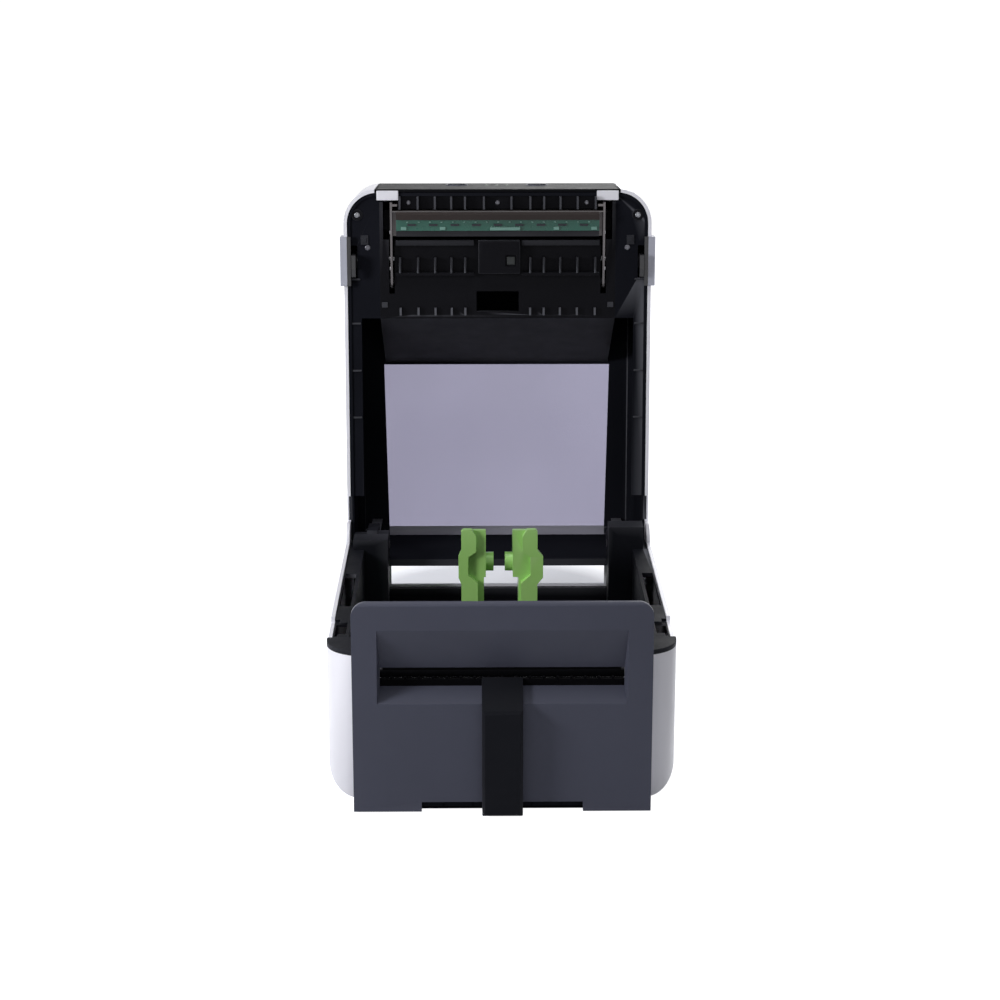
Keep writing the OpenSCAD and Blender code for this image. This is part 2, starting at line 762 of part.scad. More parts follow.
// Raised band on the left guide's front, which winds round the finger grip
module guide_band(bulge) {
  inner = -guide_gap / 2;
  polygon([[-grip_x, bay_floor + gap], [-grip_x, grip_z - 4], [-grip_x - bulge, grip_z],
    [-grip_x - bulge, grip_z + 12], [-grip_x, grip_z + 16], [-grip_x, guide_top - 1.2],
    [-grip_x + 1.2, guide_top], [inner - 8, guide_top], [inner - 5.4, guide_top - 4],
    [inner - 5.4, grip_z + 15], [inner - 9.9, grip_z + 12], [inner - 9.9, grip_z + 1.2],
    [inner - 4.5, grip_z - 3.5], [inner - 4.5, bay_floor + gap]]);
}

// Side of the left guide that bears on the roll
module guide_side() {
  front = roll_y - guide_w / 2 + 3.5;
  rear = roll_y + guide_w / 2;
  polygon([[front, bay_floor + gap], [rear, bay_floor + gap], [rear, guide_top - 12],
    [rear - 1.5, guide_top - 9], [rear - 5, guide_top - 7.3], [front, guide_top - 1.2]]);
}

// Rack at the front of the pinion; its teeth face back and one lies at X = 0
module guide_rack(x) {
  pitch = PI * rack_m;
  first = floor(x[0] / pitch);
  last = floor(x[1] / pitch);
  translate([0, 0, rack_z[0]]) linear_extrude(rack_z[1] - rack_z[0])
    translate([(first + last) / 2 * pitch, roll_y - guide_pitch_r])
      rack_outline(last - first + 1, rack_m, rack_back);
}

// Guide with its front band; below the hub its side stands back by step
module guide_body(bulge, step) {
  inner = -guide_gap / 2;
  front = roll_y - guide_w / 2;
  rear = roll_y + guide_w / 2;
  knee = roll_z - hub_d / 2 - 0.3;
  difference() {
    // Side, front web, rear flange and foot
    union() {
      along_x([inner - step - guide_t, inner]) guide_side();
      span([-grip_x + 0.4, inner], [front + 3.5, front + 6.5], [bay_floor + gap, guide_top - 1.2]);
      span([-grip_x, inner], [rear - 3, rear], [bay_floor + gap, bay_floor + 24]);
      span([-grip_x, inner], [front + 3.5, rear], [bay_floor + gap, bay_floor + 4]);
    }
    span([inner - step, inner + 1], [front, rear + 1], [bay_floor, knee]);
    span([inner - step - guide_t - 1, inner - guide_t], [front + 6.5, rear + 1], [knee + 2, guide_top]);
  }
  rod_x(roll_y, roll_z, hub_d / 2, [inner - eps, inner + hub_len]);
  along_y([front, front + 3.6]) guide_band(bulge);
}

module media_guide_left() color(LIME) placed() {
  guide_body(grip_bulge, 1.1);
  span(neck_x, [rack_low_y - rack_back, rack_low_y], [rack_z[0], bay_floor + 1]);
  guide_rack([neck_x[0], rack_reach]);
}

module media_guide_right() color(LIME) placed() {
  mirror([1, 0, 0]) guide_body(2 * grip_bulge, 3.2);
  translate([0, 2 * roll_y, 0]) rotate([0, 0, 180]) {
    span(neck_x, [rack_low_y - rack_back, rack_low_y], [rack_z[0], bay_floor + 1]);
    guide_rack([neck_x[0], rack_reach]);
  }
}

module guide_pinion() color([0.85, 0.85, 0.80]) placed() translate([0, roll_y, rack_z[0] + 0.2])
  gear(guide_teeth, rack_m, rack_z[1] - rack_z[0] - 0.4, axle_d / 2 + run_gap, 180 / guide_teeth - 90);

module sensor_carriage() color(BLACK) placed() {
  span([-5, 5], [sensor_y - 6, sensor_y + 6], [deck_z + 0.15, deck_z + 1.6]);
  span([-5, 5], [sensor_y - 2.8, sensor_y + 2.8], [deck_z - 3, deck_z + 0.2]);
  span([-5, 5], [sensor_y - 4.5, sensor_y + 4.5], [deck_z - 4.2, deck_z - 2.65]);
}

// ---- Cutter unit ----

module cover_front(inset = 0, drop = 0) {
  r = cutter_corner - inset;
  w = cutter_half - inset;
  top = cutter_top - drop - inset;
  translate([-w, cutter_low + inset]) square([2 * w, top - r - cutter_low - inset]);
  translate([r - w, top - r - 1]) square([2 * (w - r), r + 1]);
  for (s = [-1, 1]) translate([s * (w - r), top - r]) circle(r = r);
}

module cover_side() {
  r = 2;
  translate([cutter_y, cutter_low]) square([cutter_back - cutter_y, cutter_top - r - cutter_low]);
  translate([cutter_y + r, cutter_top - r - 1]) square([cutter_back - cutter_y - r, r + 1]);
  translate([cutter_y + r, cutter_top - r]) circle(r = r);
}

// Funnel that leads to the paper slot, grown by its wall
module funnel(wall) {
  intersection() {
    along_x([-cutter_half, cutter_half]) polygon([[cutter_y - eps, funnel_low - wall],
      [cutter_y - eps, funnel_top + wall], [slot_y + eps, slot_high + wall], [slot_y + eps, slot_low - wall]]);
    linear_extrude(cutter_top) polygon([[-funnel_w / 2 - wall, cutter_y - 1],
      [funnel_w / 2 + wall, cutter_y - 1], [slot_half + wall, slot_y + 1], [-slot_half - wall, slot_y + 1]]);
  }
}

module cutter_cover() color(SLATE) placed() {
  intersection() {
    difference() {
      union() {
        difference() {
          union() {
            // Front wall, which stands higher than the box behind it
            along_y([cutter_y, cutter_y + fin_t]) cover_front();
            along_y([cutter_y, cutter_back]) cover_front(0, fin_h);
          }
          along_y([cutter_y + cutter_wall, cutter_back + 1]) cover_front(cutter_wall, fin_h);
        }
        intersection() {
          funnel(cutter_wall);
          span([-cutter_half, cutter_half], [cutter_y, slot_y], [0, cutter_top]);
        }
      }
      funnel(0);
      // Hand recess under the front
      span([-recess_w / 2, recess_w / 2], [cutter_y - 1, cutter_y + fin_t + 1], [0, cutter_low + recess_h]);
    }
    along_x([-cutter_half, cutter_half]) cover_side();
  }
}

module cutter_frame() color(STEEL) placed() {
  lug_x = [carrier_half + 0.3, cutter_half - cutter_wall - 0.3];
  difference() {
    union() {
      along_y([plate_y, cutter_back]) cover_front(cutter_wall + 0.3, fin_h);
      both_sides() {
        span([front_open - 3, front_open], [cutter_back - eps, front_y + 2], [12, split_z - cap_t - 2]);
        span(lug_x, [cutter_pinion_y - 3, plate_y + eps], [cutter_pinion_z - 4, cutter_pinion_z + 4]);
      }
    }
    span([-blade_half, blade_half], [plate_y - 1, cutter_back + 1], [edge_z - 9, slot_high + 4]);
    span([gearbox_x[0] - 0.3, gearbox_x[1] + 0.3], [plate_y - 1, cutter_back + 1],
      [gearbox_z[0] - 0.3, gearbox_z[1] + 0.3]);
    rod_x(cutter_pinion_y, cutter_pinion_z, 1.5 + run_gap, [-cutter_half, cutter_half]);
    span([-carrier_half, carrier_half], [cutter_y, plate_y - eps],
      [cutter_pinion_z - 6, cutter_pinion_z + 6]);
  }
  // Shelf that carries the cutter motor
  span([20, gearbox_x[0]], [cutter_back - eps, front_y + 16], [gearbox_z[0] - 1.5, gearbox_z[0]]);
}

module fixed_blade() color([0.8, 0.8, 0.82]) placed() along_x([-blade_half, blade_half])
  polygon([[plate_y, edge_z - 9], [cutter_back, edge_z - 9], [cutter_back, edge_z - 1], [plate_y, edge_z]]);

module moving_blade() color([0.8, 0.8, 0.82]) placed() {
  // Plate with the paper window; its upper edge is the slanting knife
  difference() {
    along_y([blade_y, blade_y + blade_t]) polygon([[-carrier_half, 18], [-carrier_half + 5.5, 18],
      [-carrier_half + 5.5, 52], [carrier_half - 5.5, 52], [carrier_half - 5.5, 18], [carrier_half, 18],
      [carrier_half, blade_top], [-carrier_half, blade_top]]);
    along_y([blade_y - 1, blade_y + 2]) polygon([[-blade_window, 62], [blade_window, 62],
      [blade_window, slot_high + 3.6], [0, slot_high + 0.6], [-blade_window, slot_high + 3.6]]);
  }
  both_sides() along_x(cutter_rack_x) translate([cutter_pitch_y, cutter_rack_mid]) rotate([0, 0, 90])
    rack_outline(13, pinion_m, blade_y + eps - cutter_pitch_y - 1.25 * pinion_m);
}

module cutter_pinions() color(STEEL) placed() {
  reach = cutter_half - cutter_wall - 0.5;
  rod_x(cutter_pinion_y, cutter_pinion_z, 1.5, [-reach, reach]);
  both_sides() translate([cutter_rack_x[0], cutter_pinion_y, cutter_pinion_z]) rotate([90, 0, 90])
    gear(cutter_teeth, pinion_m, cutter_rack_x[1] - cutter_rack_x[0], 1.4,
      180 / cutter_teeth + (cutter_rack_mid - cutter_pinion_z) / cutter_pinion_r * 180 / PI);
}

module cutter_motor() color(STEEL) placed() {
  rod_x(front_y + 8.4, gearbox_z[0] + 8, 8, [24, gearbox_x[0]]);
  difference() {
    span(gearbox_x, [cutter_pinion_y - 3, front_y + 16], gearbox_z);
    rod_x(cutter_pinion_y, cutter_pinion_z, 1.5 + run_gap, [0, cutter_half]);
  }
}

module slot_guide() color(BLACK) placed() {
  back = blade_y - gap;
  span([-slot_half, slot_half], [slot_y + eps, back], [slot_low - 5, slot_low + 3.4]);
  // Ribs that carry the label, as many as the slot is wide
  pitch = 7;
  count = floor((slot_half - 1) / pitch);
  ribs([for (k = [-count:count]) k * pitch], [slot_y + eps, back], [slot_low, slot_low + 4.6]);
}

module exit_tongue() color(BLACK) placed() {
  front = cutter_y - tongue_proud;
  knee = funnel_low - 1;
  difference() {
    intersection() {
      along_x([-tongue_w / 2, tongue_w / 2]) polygon([[slot_y, slot_low], [slot_y, slot_low + 4.4],
        [front + 1, knee], [front, knee - 1.5], [front, tongue_low + 1], [front + 1, tongue_low],
        [cutter_y - 0.02, tongue_low], [cutter_y - 0.02, funnel_low]]);
      linear_extrude(slot_high) polygon([[-tongue_w / 2, slot_y], [-tongue_w / 2, front + 1.5],
        [1.5 - tongue_w / 2, front], [tongue_w / 2 - 1.5, front], [tongue_w / 2, front + 1.5],
        [tongue_w / 2, slot_y]]);
    }
    span([2 - tongue_w / 2, tongue_w / 2 - 2], [front + 2, cutter_y], [tongue_low + 2, knee - 4]);
  }
}

// ---- Lid ----

module lid_shell() color(WHITE) open_lid() difference() {
  union() {
    difference() {
      lid_solid();
      lid_solid(skin);
    }
    both_sides() rod_x(hinge_y, hinge_z, ear_r, [in_half, half_w]);
    // Apron that closes the gap above the rear slot
    intersection() {
      translate([0, 0, apron_z + 1.4]) linear_extrude(lid_low - apron_z) difference() {
        plan();
        plan(skin);
      }
      span([-half_w, half_w], [hinge_y + 2, rear_y], [0, lid_low + 1]);
    }
  }
  // Seats of the liner's rims near the hinge
  both_sides() span([in_half - 1, half_w - 1], [rim_front, hinge_y - ear_r], [lid_low - 1, lid_low + 4]);
  span([-panel_half - 0.2, panel_half + 0.2], [front_y - 1, front_y + panel_deep + 0.2], [0, body_h + 1]);
  translate([0, 0, window_low - 0.2]) linear_extrude(edge_top + 3) window_plan(2.4);
  both_sides() latch_slot(latch_hub + 0.4, [in_half - 1, half_w + 1]);
}

// Slot in which a round part of the latches slides
module latch_slot(r, x) {
  hull_y = [latch_y - latch_travel, latch_y];
  span(x, hull_y, [latch_z - r, latch_z + r]);
  for (y = hull_y) rod_x(y, latch_z, r, x);
}

module lid_window() color([0.62, 0.62, 0.68, 0.6]) open_lid() intersection() {
  difference() {
    lid_solid(0.3);
    lid_solid(skin);
  }
  translate([0, 0, window_low]) linear_extrude(edge_top + 2) intersection() {
    window_plan(2.2);
    translate([-half_w, window_front - 2.2]) square([body_w, body_d]);
  }
}

module lid_front_panel() color(SLATE) open_lid() difference() {
  intersection() {
    difference() {
      lid_solid();
      lid_solid(skin - 0.2);
    }
    span([-panel_half, panel_half], [front_y, front_y + panel_deep], [lid_low, body_h]);
  }
  both_sides() rod_y(button_x, button_z, button_d / 2 + 0.2, [front_y - 1, front_y + skin]);
  for (k = [-1:1]) rod_y(k * 6, button_z, 1.2, [front_y - 1, front_y + skin]);
}

module hinge_arm() {
  along_x([arm_x, arm_x + arm_w]) {
    translate([hinge_y, hinge_z]) circle(r = barrel_r);
    translate([hinge_y - 7, hinge_z]) square([14, 26]);
    translate([hinge_y, hinge_z + 16]) square([rear_y - skin - liner - hinge_y + 1, body_h - hinge_z - 18]);
  }
}

module lid_liner() color(BLACK) open_lid() difference() {
  union() {
    difference() {
      intersection() {
        lid_solid(skin);
        span([-half_w, half_w], [front_y, rear_y], [lid_low + 0.5, body_h]);
      }
      lid_solid(skin + liner);
    }
    intersection() {
      lid_solid(skin + eps);
      both_sides() {
        span([head_half, in_half], [front_y, head_rear], [guide_z, guide_z + 2]);
        span([bay_half + 1, in_half], [head_rear - 1, tower_y - 6], [guide_z, guide_z + 2]);
        hinge_arm();
      }
    }
    both_sides() hinge_arm_low();
    // Rims near the hinge and the inner apron above the rear slot
    both_sides() span([in_half - 1, half_w - 1], [rim_front + 0.1, hinge_y - ear_r - 0.1],
      [lid_low, lid_low + 3.9]);
    span([corner_rear - half_w, half_w - corner_rear], [rear_y - skin - liner, rear_y - skin],
      [apron_z, lid_low + 1]);
    span([corner_rear - half_w, half_w - corner_rear], [rear_y - skin - eps, rear_y],
      [apron_z, apron_z + 1.3]);
    both_sides() rod_y(button_x, button_z, button_d / 2 + 2.5, [front_y + skin + 1, front_y + cup_deep + 1.5]);
  }
  translate([0, 0, window_low]) linear_extrude(edge_top + 2) intersection() {
    window_plan();
    translate([-half_w, front_y]) square([body_w, window_rear - front_y]);
  }
  both_sides() {
    rod_x(hinge_y, hinge_z, hinge_pin_d / 2 + run_gap, [arm_x - 1, arm_x + arm_w + 1]);
    latch_slot(latch_hub + 0.3, [in_half - liner - 1, half_w]);
    span([hook_x[0] - 0.6, in_half - liner + 0.1], [latch_y - 9, latch_y + 10], [guide_z - 1, guide_z + 3]);
    rod_y(button_x, button_z, button_d / 2 + 0.5, [front_y, front_y + cup_deep]);
  }
}

module hinge_arm_low() {
  along_x([arm_x, arm_x + arm_w]) {
    translate([hinge_y, hinge_z]) circle(r = barrel_r);
    translate([hinge_y - 7, hinge_z]) square([14, 26]);
  }
}

module head_cheek() {
  polygon([[head_front, guide_z], [head_rear, guide_z], [panel_top_y, roof_z - liner],
    [head_front + edge_top, roof_z - liner], [head_front, roof_z - liner - edge_top]]);
}

module head_frame() color(BLACK) open_lid() {
  difference() {
    union() {
      both_sides() along_x([head_half - liner, head_half]) head_cheek();
      span([-head_half, head_half], [plate_front, head_rear], [guide_z, guide_z + 2]);
    }
    // Slots for the head's arms and hole for the lower sensor's lead
    both_sides() span([bracket_x - 1, bracket_x + bracket_t + 1], [plate_front - 1, pivot_y + 7],
      [guide_z - 1, guide_z + 3]);
    span([-12.4, 12.4], [front_y + 59.6, front_y + 71.4], [guide_z - 1, guide_z + 3]);
    both_sides() latch_slot(shaft_r + run_gap, [head_half - 5, head_half + 1]);
  }
  // Wall that leans from the head to the window
  along_x([-head_half, head_half]) polygon([[head_rear - 2, guide_z], [head_rear, guide_z],
    [panel_top_y, roof_z - liner], [panel_top_y - 2, roof_z - liner]]);
  // Ribbed paper guide between its two ledges
  both_sides() {
    span([14, bracket_x - 2], [plate_front, plate_front + 3], [guide_z - 5, guide_z]);
    span([14, bracket_x - 2], [front_y + 48.2, front_y + 50], [guide_z - 5, guide_z]);
    ribs([for (x = rib_places) if (x > 0) x], [front_y + 39.4, front_y + 48.4], [guide_z - 6, guide_z]);
    ribs([for (x = rib_places) if (x > 0) x], [front_y + 69, front_y + 73.5], [guide_z - 3, guide_z]);
    rod_x(pivot_y, pivot_z, 2, [bracket_x - 1, head_half - 1]);
  }
  // Bar that the head springs press against
  span([-head_half + 1, head_half - 1], [spring_y - 6, spring_y + 6], [spring_top, spring_top + 2]);
}

module front_guide() color(BLACK) open_lid() {
  y = [front_y + skin + liner + 0.1, front_y + 11.6];
  span([0.5 - head_w / 2, head_w / 2 - 0.5], y, [guide_z, guide_z + 2]);
  span([-head_half + liner, head_half - liner], [y[0], head_front - 0.3], [guide_z, guide_z + 2]);
  ribs(concat(rib_places, [-8, 8]), y, [guide_z - 6, guide_z + eps]);
}

module lid_tabs() color(WHITE) open_lid() both_sides() {
  span([panel_half - 13.8, front_open - 0.5], [front_y + 0.8, front_y + 6.4], [lid_low - 1.2, lid_low]);
  span([panel_half - 13, front_open - 1.5], [front_y + skin + 0.2, front_y + 6.4],
    [lid_low - eps, lid_low + 0.5]);
}

module upper_sensor() color(BLACK) open_lid() difference() {
  span([-11.2, 13], [plate_front, front_y + 48.6], [guide_z - 7, guide_z]);
  span([4.5, 11], [front_y + 38, front_y + 44.5], [guide_z - 8, guide_z - 5.5]);
}

module status_leds() color([0.6, 0.8, 0.6]) open_lid() for (k = [-1:1])
  rod_y(k * 6, button_z, 1.2, [front_y - 0.1, front_y + skin]);

module lid_screws() color(STEEL) open_lid() {
  for (x = [-1, 0, 1] * (head_w / 2 - 7))
    translate([x, front_y + 8, guide_z - 0.8]) cylinder(r = 1.5, h = 0.8);
  both_sides() lid_screw_pair();
}

module lid_screw_pair() {
  translate([half_w - 8, front_y + 15, guide_z - 0.8]) cylinder(r = 1.8, h = 0.8);
  translate([half_w - 14, front_y + 34, guide_z - 0.8]) cylinder(r = 1.8, h = 0.8);
}

module head_bracket() color(STEEL) open_lid() {
  difference() {
    both_sides() along_x([bracket_x, bracket_x + bracket_t]) {
      polygon([[head_front, guide_z - 7], [head_front, bracket_top], [pivot_y, bracket_top],
        [pivot_y, guide_z - 2], [pivot_y - 20, guide_z - 5]]);
      translate([pivot_y, pivot_z]) circle(r = 4);
    }
    both_sides() rod_x(pivot_y, pivot_z, 2 + run_gap, [bracket_x - 1, bracket_x + 3]);
  }
  // Turned-in tabs at the front, and the plate that carries the head
  both_sides() span([bracket_x - 3, bracket_x + eps], [head_front + 1, head_front + 1 + bracket_t],
    [guide_z - 7, guide_z - 3]);
  span([-bracket_x - eps, bracket_x + eps], [head_lip, head_front + 20],
    [bracket_top - bracket_t, bracket_top]);
  span([-bracket_x - eps, bracket_x + eps], [head_lip, head_lip + head_lip_t],
    [guide_z - 8, bracket_top - eps]);
}

module head_sink() color([0.45, 0.45, 0.47]) open_lid()
  span([-head_w / 2, head_w / 2], [head_lip + head_lip_t, front_y + 27],
    [guide_z - 6.5, bracket_top - bracket_t]);

module print_head() color([0.42, 0.36, 0.34]) open_lid()
  along_x([-head_w / 2, head_w / 2]) polygon([[head_lip + head_lip_t, guide_z - 6.5],
    [head_lip + head_lip_t, head_z + 0.6], [head_lip + 2, head_z], [head_strip_back, head_z],
    [head_strip_back, guide_z - 6.5]]);

module head_board() color([0.20, 0.50, 0.38]) open_lid()
  span([-head_w / 2, head_w / 2], [head_strip_back, front_y + 23.6], [guide_z - 8.1, guide_z - 6.5]);

// Round wire along a helix
function helix_point(t, r) = [r * cos(360 * t), r * sin(360 * t)];
module coil(r, wire, turns, height) {
  steps = turns * 14;
  sides = 6;
  points = [for (i = [0:steps]) for (k = [0:sides - 1])
    let (t = i / 14, a = 360 * k / sides, p = helix_point(t, r + wire * cos(a)))
    [p[0], p[1], wire + (height - 2 * wire) * i / steps + wire * sin(a)]];
  faces = concat(
    [[for (k = [0:sides - 1]) k]],
    [for (i = [0:steps - 1]) for (k = [0:sides - 1]) let (n = (k + 1) % sides)
      [i * sides + k, (i + 1) * sides + k, (i + 1) * sides + n, i * sides + n]],
    [[for (k = [sides - 1:-1:0]) steps * sides + k]]);
  polyhedron(points, faces);
}

module head_springs() color(STEEL) open_lid() for (x = [-30, 30])
  translate([x, spring_y, bracket_top]) coil(3.5, 0.45, 5, spring_top - bracket_top);

module latch() {
  // Finger plate outside with its lip under the lid's edge, hub through the wall, and hook
  along_x([half_w + 0.3, half_w + 2]) translate([latch_y, latch_z]) {
    square([2 * latch_half - 13, 13], center = true);
    for (s = [-1, 1]) translate([s * (latch_half - 6.5), 0]) circle(r = 6.5);
  }
  span([half_w + 0.3, half_w + 2], [latch_y - latch_half, latch_y + latch_half], [lip_z[0], latch_z]);
  span([lip_x, half_w + 0.3 + eps], [latch_y - latch_half, latch_y + latch_half], lip_z);
  difference() {
    union() {
      rod_x(latch_y, latch_z, latch_hub, [hook_x[0], half_w + 1]);
      along_x(hook_x) translate([latch_y - 4, hook_z]) square([8, latch_z - hook_z]);
      along_x(hook_x) polygon([[latch_y + 3, hook_z], [latch_y + 8.6, hook_z + 1.5],
        [latch_y + 8.6, hook_z + 3], [latch_y + 3, hook_z + 5]]);
    }
    rod_x(latch_y, latch_z, shaft_r, [0, half_w - 2]);
  }
}

module latch_right() color([0.85, 0.85, 0.88]) open_lid() latch();
module latch_left() color([0.85, 0.85, 0.88]) open_lid() mirror([1, 0, 0]) latch();
module latch_shaft() color(STEEL) open_lid() rod_x(latch_y, latch_z, shaft_r, [2 - half_w, half_w - 2]);

module button(x) {
  rod_y(x, button_z, button_d / 2, [front_y - 1, front_y + cup_deep - 1.4]);
}
module power_button() color([0.3, 0.3, 0.34]) open_lid() button(button_x);
module feed_button() color([0.3, 0.3, 0.34]) open_lid() button(-button_x);

module control_board() color([0.10, 0.32, 0.20]) open_lid()
  span([-button_x - button_board, button_x + button_board],
    [front_y + cup_deep + 1.5, front_y + cup_deep + 3.1],
    [button_z - button_board, button_z + button_board]);

module hinge_pins() color(STEEL) placed() both_sides()
  rod_x(hinge_y, hinge_z, hinge_pin_d / 2, [cheek_in, cheek_out]);

module base_screws() color(STEEL) placed() for (x = [-1, 1] * (board_half - 8))
  for (y = [board_y[0] + 5, board_y[1] - 8])
  translate([x, y, board_top]) cylinder(r = 2.8, h = 1.6);

base_shell();
base_frame();
roll_bay();
bottom_plate();
feet();
rear_panel();
dc_jack();
usb_port();
lan_port();
main_board();
front_deck();
platen_bushings();
drive_motor();
idler_axle();
platen_roller();
platen_shaft();
platen_gear();
idler_gear();
motor_pinion();
media_guide_left();
media_guide_right();
guide_pinion();
sensor_carriage();
cutter_cover();
cutter_frame();
fixed_blade();
moving_blade();
cutter_pinions();
cutter_motor();
slot_guide();
exit_tongue();
lid_shell();
lid_window();
lid_front_panel();
lid_liner();
head_frame();
front_guide();
lid_tabs();
upper_sensor();
status_leds();
lid_screws();
head_bracket();
head_sink();
print_head();
head_board();
head_springs();
latch_right();
latch_left();
latch_shaft();
power_button();
feed_button();
control_board();
hinge_pins();
base_screws();
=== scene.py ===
import json
import math
import bmesh
import bpy
from mathutils import Matrix, Vector


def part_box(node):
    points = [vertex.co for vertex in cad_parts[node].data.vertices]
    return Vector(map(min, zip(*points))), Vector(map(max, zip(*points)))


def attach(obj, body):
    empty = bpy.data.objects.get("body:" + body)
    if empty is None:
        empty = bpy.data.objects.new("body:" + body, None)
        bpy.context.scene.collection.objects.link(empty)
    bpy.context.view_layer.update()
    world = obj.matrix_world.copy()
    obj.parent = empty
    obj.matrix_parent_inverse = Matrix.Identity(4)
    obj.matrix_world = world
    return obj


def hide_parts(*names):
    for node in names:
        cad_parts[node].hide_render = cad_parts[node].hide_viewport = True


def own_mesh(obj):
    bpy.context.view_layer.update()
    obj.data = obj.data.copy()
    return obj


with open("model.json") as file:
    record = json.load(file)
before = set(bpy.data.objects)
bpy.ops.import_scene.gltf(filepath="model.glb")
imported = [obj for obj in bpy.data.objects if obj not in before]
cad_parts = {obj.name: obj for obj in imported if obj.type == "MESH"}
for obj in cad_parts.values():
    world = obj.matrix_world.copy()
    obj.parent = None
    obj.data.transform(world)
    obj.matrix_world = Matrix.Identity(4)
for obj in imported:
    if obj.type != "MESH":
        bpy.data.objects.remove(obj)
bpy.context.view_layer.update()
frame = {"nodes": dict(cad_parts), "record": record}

nodes = frame["nodes"]
scene = bpy.context.scene


# --------------------------------------------------------------- node trees

def linear(rgb):
    """sRGB 0-255 to scene linear."""
    shares = [v / 255 for v in rgb]
    return [s / 12.92 if s <= 0.04045 else ((s + 0.055) / 1.055) ** 2.4 for s in shares]


def toned(color, factor):
    """A linear colour made lighter or darker, with no channel over 1."""
    return [min(1, c * factor) for c in color]


class Graph:
    """A node tree with short calls for the nodes used here."""

    def __init__(self, tree, output):
        self.tree = tree
        self.tree.nodes.clear()
        self.out = self.add(output)

    def add(self, kind, sockets=None, **settings):
        """Adds a node with its settings, and feeds the sockets named."""
        node = self.tree.nodes.new(kind)
        for key, value in settings.items():
            setattr(node, key, value)
        for key, value in (sockets or {}).items():
            self.feed(node, key, value)
        return node

    def feed(self, node, key, value):
        """Links another node's output to a socket, or sets the socket to a value."""
        if isinstance(value, bpy.types.NodeSocket):
            self.tree.links.new(value, node.inputs[key])
        else:
            node.inputs[key].default_value = value

    def show(self, shader):
        self.feed(self.out, "Surface", shader.outputs[0])

    def here(self):
        """Place of the shaded point in the object's own space."""
        return self.add("ShaderNodeTexCoord").outputs["Object"]

    def noise(self, scale, detail, rough=0.5, stretch=(1, 1, 1)):
        mapping = self.add("ShaderNodeMapping", {"Vector": self.here(), "Scale": stretch})
        sockets = {"Vector": mapping.outputs["Vector"], "Scale": scale, "Detail": detail, "Roughness": rough}
        return self.add("ShaderNodeTexNoise", sockets).outputs["Fac"]

    def ramp(self, fac, low, high):
        """Colour that goes from low to high over the middle third of a noise."""
        node = self.add("ShaderNodeValToRGB", {"Fac": fac})
        for element, position, color in zip(node.color_ramp.elements, (0.35, 0.65), (low, high)):
            element.position = position
            element.color = (*color, 1)
        return node.outputs["Color"]

    def mix(self, fac, color, other):
        """Blends a colour socket towards the fixed colour other."""
        node = self.add("ShaderNodeMix", {"Factor": fac}, data_type="RGBA")
        self.feed(node, 6, color)
        self.feed(node, 7, (*other, 1))
        return node.outputs[2]

    def mix_shader(self, fac, first, second):
        return self.add("ShaderNodeMixShader", {"Fac": fac, 1: first.outputs[0], 2: second.outputs[0]})

    def remap(self, value, low, high, src=(0.3, 0.7)):
        """The value's stretch src, laid over low to high."""
        sockets = {"Value": value, "From Min": src[0], "From Max": src[1], "To Min": low, "To Max": high}
        return self.add("ShaderNodeMapRange", sockets).outputs["Result"]

    def math(self, operation, *values):
        return self.add("ShaderNodeMath", dict(enumerate(values)), operation=operation).outputs[0]

    def bump(self, height, strength):
        sockets = {"Height": height, "Strength": strength, "Distance": 0.0002}
        return self.add("ShaderNodeBump", sockets).outputs["Normal"]

    def seen_by(self, *rays):
        """1 for rays of these kinds, and 0 for the others."""
        path = self.add("ShaderNodeLightPath")
        total = path.outputs[rays[0]]
        for ray in rays[1:]:
            total = self.math("MAXIMUM", total, path.outputs[ray])
        return total


# ---------------------------------------------------------------- materials

def material(name):
    """A new material and the graph of its nodes."""
    mat = bpy.data.materials.new(name)
    mat.use_nodes = True
    return mat, Graph(mat.node_tree, "ShaderNodeOutputMaterial")


def moulded(name, rgb, rough, spread=0.05, tone=0.05, grain=1.0, grain_scale=2400, coat=0.0, spec=0.5,
            glint=None, inner=None):
    """Moulded plastic: slow tone drift, fine spark-eroded grain and uneven gloss.
    spread and tone say how far the gloss and the tone drift. glint is a painted highlight, the lighter
    colour painted on rounded edges. inner is (x, rgb), the colour up to x metres from the middle."""
    mat, g = material(name)
    base = linear(rgb)
    bsdf = g.add("ShaderNodeBsdfPrincipled", {"Specular IOR Level": spec})
    if coat:
        g.feed(bsdf, "Coat Weight", coat)
        g.feed(bsdf, "Coat Roughness", 0.12)
    color = g.ramp(g.noise(14, 3), toned(base, 1 - tone), toned(base, 1 + tone))
    # Painted highlight: rounded edges, where the pointiness is high, take the lighter glint colour.
    if glint:
        point = g.add("ShaderNodeNewGeometry").outputs["Pointiness"]
        color = g.mix(g.remap(point, 0, 1, (0.53, 0.62)), color, linear(glint))
    if inner:
        reach, dark = inner
        x = g.add("ShaderNodeSeparateXYZ", {"Vector": g.here()}).outputs["X"]
        within = g.remap(g.math("ABSOLUTE", x), 1, 0, (reach - 0.0001, reach))
        color = g.mix(within, color, linear(dark))
    g.feed(bsdf, "Base Color", color)
    smudge = g.noise(70, 5, 0.65)
    g.feed(bsdf, "Roughness", g.remap(smudge, max(0.02, rough - spread), min(1, rough + spread)))
    g.feed(bsdf, "Normal", g.bump(g.noise(grain_scale, 2, 0.6), min(1, 0.12 * grain)))
    g.show(bsdf)
    return mat


